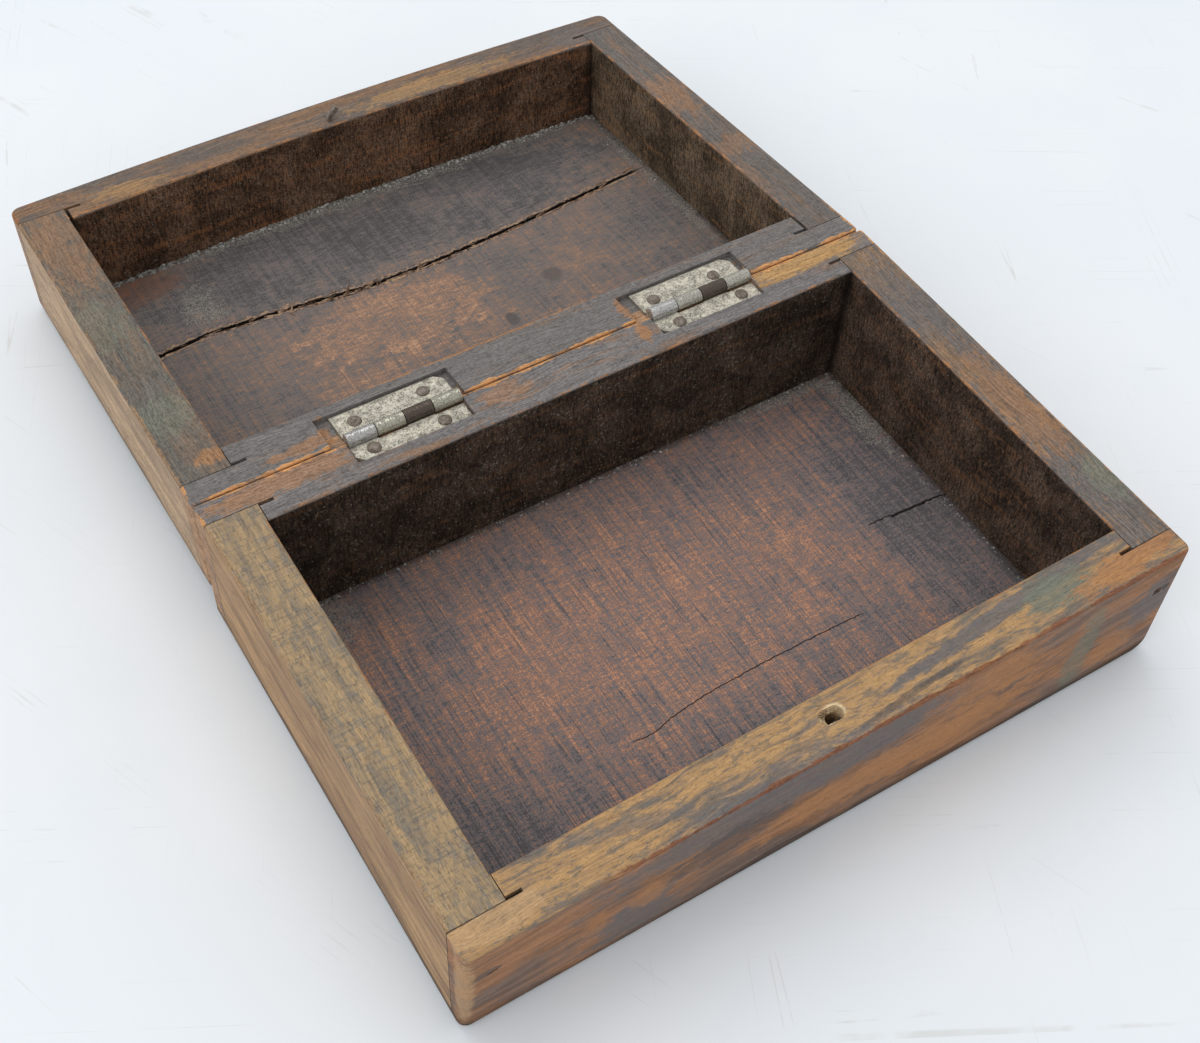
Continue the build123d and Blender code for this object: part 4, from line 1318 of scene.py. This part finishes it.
class Recipe(Group):
    """A geometry node tree with named sizes, which is run once and leaves a plain mesh."""

    kind = "GeometryNodeTree"
    families = ("GeometryNode", "ShaderNode", "FunctionNode")

    def __init__(self, name: str, **sizes: Any) -> None:
        """Starts a tree that takes a seedbed mesh, named sizes and a finish."""
        super().__init__(name, Seedbed="Geometry", **sizes, Finish="Material")
        self.tree.is_modifier = True

    def chance(self, low: Value, high: Value, seed: int) -> Wire:
        """A random vector for each point, between two corners.

        Args:
            low: the least of each part.
            high: the most of each part.
            seed: the draw's own seed.

        Returns:
            The vector.
        """
        node = self.add("RandomValue", data_type="FLOAT_VECTOR")
        for socket, value in ((node.inputs[0], low), (node.inputs[1], high), (node.inputs["Seed"], seed)):
            self.feed(socket, value)
        return Wire(self, node.outputs[0])

    def scatter(self, points: Wire, instance: Wire, rotation: Wire, scale: Wire) -> "Recipe":
        """Ends the tree: a shape at every point, Realize Instances and Set Material.

        Args:
            points: where the shapes go.
            instance: the shape.
            rotation: its turn at each point.
            scale: its size at each point.

        Returns:
            The recipe.
        """
        grown = self.run("InstanceOnPoints", Points=points, Instance=instance, Rotation=rotation, Scale=scale)
        real = self.run("RealizeInstances", Geometry=grown)
        self.put("Geometry", Grown=self.run("SetMaterial", Geometry=real, Material=self.given["Finish"]))
        return self

    def grow(self, name: str, seedbed: bpy.types.Mesh, body: str, finish: Material, **sizes: Any) -> Piece:
        """Runs the tree on a seedbed and keeps the result as a plain mesh that rides on a body.

        Args:
            name: the piece's name.
            seedbed: the points, lines or faces that it grows on, in metres.
            body: the body that carries it.
            finish: its material.
            sizes: values by input name, with underscores for spaces.

        Returns:
            The piece.
        """
        bed = show(name + "_bed", seedbed)
        modifier = bed.modifiers.new("grow", "NODES")
        modifier.node_group = self.tree
        values = {key.replace("_", " "): value for key, value in sizes.items()} | {"Finish": finish}
        for item in self.tree.interface.items_tree:
            if item.in_out == "INPUT" and item.name in values:
                modifier[item.identifier] = values[item.name]
        mesh = bpy.data.meshes.new_from_object(bed.evaluated_get(bpy.context.evaluated_depsgraph_get()))
        bpy.data.objects.remove(bed)
        mesh.name = name
        piece = show(name, mesh)
        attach(piece, body)
        return piece


@dataclass
class HingeNails:
    """The eight round-headed nails of the hinges, driven through the leaves.

    Attributes:
        head_radius: the heads' radius in millimetres.
        head_rise: how far a head stands on its leaf.
        shank: the square shank's side.
        length: the shank's length.
        leaf_depth: how far a leaf's face lies below the rim.
        base_spots: places along the hinges and from the base's back.
        lid_spots: places along the hinges and from the lid's back.
    """

    head_radius: float = 1.48
    head_rise: float = 0.74
    shank: float = 0.95
    length: float = 7.0
    leaf_depth: float = 0.65
    base_spots: tuple[tuple[float, float], ...] = ((-42.8, 3.3), (-27.5, 3.8), (28.2, 3.9), (44.2, 3.5))
    lid_spots: tuple[tuple[float, float], ...] = ((-42.9, 4.6), (-27.5, 5.1), (27.1, 4.2), (42.4, 4.1))

    def recipe(self) -> Recipe:
        """Builds the tree: a domed head and a pointed shank at every point, each turned a little.

        Returns:
            The tree.
        """
        r = Recipe("domed_nails", Head_Radius=0.0015, Head_Rise=0.0007, Shank=0.001, Length=0.007, Lean=0.0)
        radius, rise, half = r.given["Head Radius"], r.given["Head Rise"], r.given["Shank"] * 0.7
        ball = r.run("MeshUVSphere", Segments=20, Rings=12, Radius=1.0)
        head = r.run("SetShadeSmooth", Geometry=r.run("Transform", Geometry=ball, Scale=r.join(radius, radius, rise)))
        cone = r.run("MeshCone", Vertices=4, Radius_Top=half, Radius_Bottom=half * 0.35, Depth=r.given["Length"])
        nail = r.add("JoinGeometry")
        for part in (r.run("Transform", Geometry=cone, Translation=r.join(0.0, 0.0, r.given["Length"] * -1.0)), head):
            r.feed(nail.inputs[0], part)
        turn = r.chance((-0.06, -0.06, -1.5), (0.06, 0.06, 1.5), 4) + r.join(r.given["Lean"])
        size = r.chance((0.94, 0.94, 0.95), (1.04, 1.04, 1.02), 9)
        return r.scatter(r.given["Seedbed"], Wire(r, nail.outputs[0]), turn, size)

    def build(self, finish: Material) -> list[Piece]:
        """Makes the nails of both trays and hides the plain CAD ones.

        Args:
            finish: the nails' material.

        Returns:
            The two pieces.
        """
        recipe, pieces = self.recipe(), []
        for tray, places in ((BASE, self.base_spots), (LID, self.lid_spots)):
            bed = tray.bed(tray.body + "_nail_points", [(*place, self.leaf_depth) for place in places])
            piece = recipe.grow(
                f"hinge_{tray.body}_domed_nails", bed, tray.body, finish, Head_Radius=self.head_radius * MM,
                Head_Rise=self.head_rise * MM, Shank=self.shank * MM, Length=self.length * MM, Lean=-tray.lean,
            )
            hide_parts(f"hinge_left_{tray.body}_nails", f"hinge_right_{tray.body}_nails")
            pieces.append(piece)
        return pieces


@dataclass
class DustCrumbs:
    """Crumbs of dust, old glue and torn wood in the trays' corners and in the catch's hole.

    Attributes:
        smallest: the finest crumb's radius in millimetres.
        largest: the coarsest crumb's radius.
        sunk: how deep a bed lies in its floor.
    """

    smallest: float = 0.05
    largest: float = 0.24
    sunk: float = 0.03

    def recipe(self) -> Recipe:
        """Builds the tree: crumbs scattered over faces, of many sizes and turns.

        Returns:
            The tree.
        """
        r = Recipe("dust_crumbs", Density=1e6, Smallest=0.00005, Largest=0.0002, Seed=1)
        sown = {key: r.given[key] for key in ("Density", "Seed")}
        points = r.run("DistributePointsOnFaces", 0, {"distribute_method": "RANDOM"}, Mesh=r.given["Seedbed"], **sown)
        crumb = r.run("MeshIcoSphere", Radius=1.0, Subdivisions=1)
        share = r.math("POWER", r.run("RandomValue", 1, {"data_type": "FLOAT"}, Seed=31), 3.0)
        radius = r.given["Smallest"] + share * (r.given["Largest"] - r.given["Smallest"])
        size = r.chance((0.7, 0.6, 0.35), (1.6, 1.1, 0.8), 5) * radius
        return r.scatter(points, crumb, r.chance(ORIGIN, (0.5, 0.5, 6.28), 8), size)

    def build(self, recipe: Recipe, dust: Material) -> list[Piece]:
        """Scatters the crumbs of both trays.

        Args:
            recipe: the crumbs' tree.
            dust: their material.

        Returns:
            The pieces.
        """
        pieces = []
        ridge = [(x, 93.2 + 1.7 * (1 - (x / HALF_LENGTH) ** 2)) for x in (-67.0 + 8.4 * i for i in range(17))]
        beds = (
            ("lid_far_ridge", LID, [(x, back - 1.3) for x, back in ridge] + ridge[::-1], 7, 3.4),
            ("lid_right_dust", LID, [(65.6, 14), (68, 14), (67.2, 92), (63.5, 92)], 1.8, 1.4),
            ("lid_left_dust", LID, [(-55, 66.5), (-44, 67.5), (-45, 86), (-53, 85)], 0.6, 0.8),
            ("base_back_dust", BASE, [(-68, 9.9), (68.8, 9.9), (68.8, 11.2), (-68, 11.2)], 3, 1.6),
            ("base_corner_dust", BASE, [(-68, 10.5), (-54, 10.5), (-60, 20), (-68, 30)], 1.5, 1.2),
            ("base_right_dust", BASE, [(66.2, 10.5), (68.8, 10.5), (68.2, 91.5), (66.9, 91.5)], 2.2, 1.5),
            ("base_floor_specks", BASE, [(-66, 12), (67, 12), (67, 90), (-66, 90)], 0.035, 0.7),
            ("lid_floor_specks", LID, [(-66, 12.5), (66, 12.5), (64, 90), (-66, 90)], 0.045, 0.7),
        )
        for seed, (name, tray, outline, per_square_mm, coarse) in enumerate(beds, start=3):
            last = len(outline) - 1
            faces = [(i, i + 1, last - 1 - i, last - i) for i in range(last // 2)] if last > 3 else [(0, 1, 2, 3)]
            bed = tray.bed(name + "_bed", [(*place, tray.floor - self.sunk) for place in outline], faces=faces)
            sizes = {"Smallest": self.smallest * MM, "Largest": self.largest * coarse * MM}
            pieces.append(recipe.grow(name, bed, tray.body, dust, Density=per_square_mm * 1e6, Seed=seed, **sizes))
        return pieces

    def fill_catch(self, recipe: Recipe, torn: Material) -> Piece:
        """Lines the catch's chipped hole with torn wood, clear of where the catch nail goes.

        Args:
            recipe: the crumbs' tree.
            torn: the torn wood's material.

        Returns:
            The piece.
        """
        brink = [(-5.2, 95.8, 0.15), (-0.6, 95.8, 0.35), (-0.6, 98.8, 0.35), (-5.2, 98.8, 0.15)]
        inside = [(-4.5, 96.25, 0.8), (-0.6, 96.2, 1.5), (-0.6, 98.45, 1.5), (-4.5, 98.4, 0.8)]
        bed = BASE.bed("catch_torn_wood_bed", brink + inside, faces=[(0, 1, 5, 4), (2, 3, 7, 6), (3, 0, 4, 7)])
        sizes = {"Density": 42e6, "Smallest": 2.0 * self.smallest * MM, "Largest": self.largest * MM, "Seed": 21}
        return recipe.grow("catch_torn_wood", bed, BASE.body, torn, **sizes)


@dataclass
class CrackSplinters:
    """Torn slivers of wood along the lid board's open crack.

    Attributes:
        line: the crack, along the hinges and from the back, in millimetres.
        length: a sliver's usual length.
        sunk: how deep a sliver lies in the board.
    """

    line: tuple[tuple[float, float], ...]
    length: float = 3.2
    sunk: float = 0.02

    def recipe(self) -> Recipe:
        """Builds the tree: tapered slivers laid along a line, turned and shifted a little.

        Returns:
            The tree.
        """
        r = Recipe(
            "crack_splinters", Count=40, Thick=0.0003, Length=0.003, Drift=(0.001, 0.0003, 0.0),
            Back_Drift=(-0.001, -0.0003, 0.0),
        )
        line = r.run("ResampleCurve", Curve=r.run("MeshToCurve", Mesh=r.given["Seedbed"]), Count=r.given["Count"])
        along = r.run("AlignRotationToVector", 0, {"axis": "X"}, Vector=r.run("InputTangent"))
        points = r.run("SetPosition", Geometry=line, Offset=r.chance(r.given["Back Drift"], r.given["Drift"], 6))
        thick = r.given["Thick"]
        cone = r.run("MeshCone", Vertices=5, Radius_Top=thick * 0.12, Radius_Bottom=thick, Depth=r.given["Length"])
        sliver = r.run("Transform", Geometry=cone, Rotation=(0.0, 1.5708, 0.0), Scale=(0.5, 1.0, 1.0))
        swing = r.chance((0.0, -0.07, -0.16), (6.28, 0.07, 0.16), 12)
        turn = r.run("RotateRotation", Rotation=along, Rotate_By=swing)
        return r.scatter(points, sliver, turn, r.chance((0.4, 0.5, 0.5), (1.6, 1.3, 1.3), 14))

    def build(self, finish: Material) -> list[Piece]:
        """Lays slivers on both lips of the crack.

        Args:
            finish: the torn wood's material.

        Returns:
            The pieces.
        """
        recipe, pieces = self.recipe(), []
        drift = {"Drift": (0.0012, 0.00028, 0.00006), "Back_Drift": (-0.0012, -0.00028, -0.00004)}
        lips = (
            ("crack_near_lip", self.line[1:-1], -0.75, 52, 0.34),
            ("crack_far_lip", self.line[1:], 0.62, 30, 0.22),
            ("crack_torn_middle", self.line[3:6], -1.15, 26, 0.46),
        )
        for name, line, offset, count, thick in lips:
            places = [(x, back + offset, LID.floor - self.sunk) for x, back in line]
            bed = LID.bed(name + "_bed", places, edges=[(i, i + 1) for i in range(len(places) - 1)])
            sizes = {"Count": count, "Thick": thick * MM, "Length": self.length * MM}
            pieces.append(recipe.grow(name, bed, LID.body, finish, **sizes, **drift))
        return pieces


@dataclass(frozen=True)
class Viewpoint:
    """Where the photograph was taken from, in metres from the middle of the base's underside.

    Attributes:
        place: the lens, in the object's frame.
        right: the direction that points right in the picture.
        up: the direction that points up in the picture.
        back: the direction from the scene towards the lens.
        focal_mm: the focal length on a 36 mm wide sensor.
    """

    place: tuple[float, float, float] = (-0.12409, -0.14414, 0.27365)
    right: tuple[float, float, float] = (0.84714, -0.52955, 0.04403)
    up: tuple[float, float, float] = (0.39289, 0.67999, 0.61907)
    back: tuple[float, float, float] = (-0.35776, -0.50714, 0.7841)
    focal_mm: float = 48.79

    def set_up(self) -> None:
        """Makes the camera and hands it to the scene."""
        data = bpy.data.cameras.new("photo_view")
        data.lens, data.sensor_width, data.sensor_fit, data.clip_start = self.focal_mm, 36.0, "HORIZONTAL", 0.01
        camera = show("photo_view", data)
        columns = Matrix((self.right, self.up, self.back)).transposed().to_4x4()
        camera.matrix_world = Matrix.Translation(Vector(self.place)) @ columns
        bpy.context.scene.camera = camera


@dataclass
class Studio:
    """The pale table that the box lies on, and soft light from above.

    Attributes:
        table_half: half the table's side in metres.
        sky_strength: the world's even light.
        scratches: each set of fine scratches: its turn in radians and where its pattern starts.
        lamps: each lamp's name, place and side in metres, and power in watts.
    """

    table_half: float = 1.5
    sky_strength: float = 0.78
    scratches: tuple[tuple[float, float], ...] = ((0.5, 0.0), (2.0, 300.0), (1.2, 700.0))
    lamps: tuple[tuple[str, tuple[float, float, float], float, float], ...] = (
        ("window_light", (0.1, 0.9, 2.0), 1.6, 12.0), ("room_fill", (-1.6, -0.3, 1.5), 1.4, 9.0),
    )

    def paint_table(self) -> Material:
        """Makes the table's pale material: soft clouds and a few hair scratches.

        Returns:
            The material.
        """
        g = Coat("pale_table")
        here = g.here()
        cloud = g.noise(here, 0.012, 4.0, 0.6)
        colour = g.mix(g.smooth(cloud, 0.4, 0.65), (0.80, 0.84, 0.875), (0.83, 0.86, 0.89))
        for turn, start in self.scratches:
            turned = g.turn(here + (start, 0.0, 0.0), "Z", turn)
            stroke = g.noise(turned * (0.02, 1.0, 1.0), 0.1, 1.0, 0.5)
            patchy = g.smooth(g.noise(turned, 0.03, 4.0, 0.7), 0.52, 0.64)
            hair = g.smooth(abs(stroke - 0.5), 0.0032, 0.0008) * patchy * 0.3
            colour = g.mix(hair, colour, (0.50, 0.47, 0.40))
        return g.lay(specular=0.2, Base_Color=colour, Roughness=g.smooth(cloud, 0.3, 0.7, 0.5, 0.65)).material

    def lay_table(self) -> None:
        """Makes the table top as one large square under the box."""
        mesh = bpy.data.meshes.new("table_top")
        corners = [(x * self.table_half, y * self.table_half, 0.0) for x, y in ((-1, -1), (1, -1), (1, 1), (-1, 1))]
        mesh.from_pydata(corners, [], [(0, 1, 2, 3)])
        mesh.materials.append(self.paint_table())
        show("table_top", mesh)

    def light(self) -> None:
        """Lights the table evenly, a little more from the back and the right."""
        world = bpy.data.worlds.new("soft_room")
        world.use_nodes = True
        background = world.node_tree.nodes["Background"]
        background.inputs["Color"].default_value = (0.97, 0.985, 1.0, 1.0)
        background.inputs["Strength"].default_value = self.sky_strength
        bpy.context.scene.world = world
        for name, place, side, watts in self.lamps:
            data = bpy.data.lights.new(name, "AREA")
            data.size, data.energy = side, watts
            aim = (Vector((0.0, 0.05, 0.0)) - Vector(place)).to_track_quat("-Z", "Y")
            show(name, data).matrix_world = Matrix.Translation(place) @ aim.to_matrix().to_4x4()


def main() -> None:
    """Builds the scene and reports each piece."""
    logging.basicConfig(level=logging.INFO)
    bpy.context.scene.view_settings.view_transform = "Standard"
    studio = Studio()
    studio.lay_table()
    studio.light()
    Viewpoint().set_up()
    LOG.info("studio ready")
    effects = Effects()
    for wood in [*box_rails(), *box_floors()]:
        wood.make(effects)
        LOG.info("%s dressed", wood.node)
    HingeMetal((0.46, 0.45, 0.43), 0.0, brown_from=-37.6).make("hinge_left_base_leaf")
    HingeMetal((0.44, 0.42, 0.34), 1.0).make("hinge_left_lid_leaf")
    HingeMetal((0.52, 0.51, 0.49), 2.0, brown_from=32.7).make("hinge_right_base_leaf")
    HingeMetal((0.46, 0.44, 0.38), 3.0).make("hinge_right_lid_leaf")
    OldIron(bright=(0.5, 0.47, 0.42), metal=0.8).make("pin_steel", ["hinge_left_pin", "hinge_right_pin"])
    iron = OldIron().make("nail_iron", [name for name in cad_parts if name.endswith(("_nails", "_nail"))])
    LOG.info("hinges and nails dressed")
    dust, torn, pale = (
        LooseDirt(*row).make() for row in (
            ("corner_dust", (0.07, 0.062, 0.055), (0.21, 0.195, 0.175), (0.50, 0.49, 0.46), 1.4),
            ("torn_wood", (0.03, 0.02, 0.015), (0.22, 0.135, 0.085), (0.50, 0.34, 0.22), 0.5),
            ("pale_torn_wood", (0.24, 0.155, 0.085), (0.46, 0.34, 0.20), (0.66, 0.52, 0.34), 0.6),
        )
    )
    crumbs, splinters = DustCrumbs(), CrackSplinters(LID_CRACK.points)
    recipe = crumbs.recipe()
    pieces = HingeNails().build(iron) + crumbs.build(recipe, dust) + splinters.build(torn)
    for piece in [*pieces, crumbs.fill_catch(recipe, pale)]:
        LOG.info("%s made, %d faces", piece.name, len(piece.data.polygons))


if __name__ == "__main__":
    main()
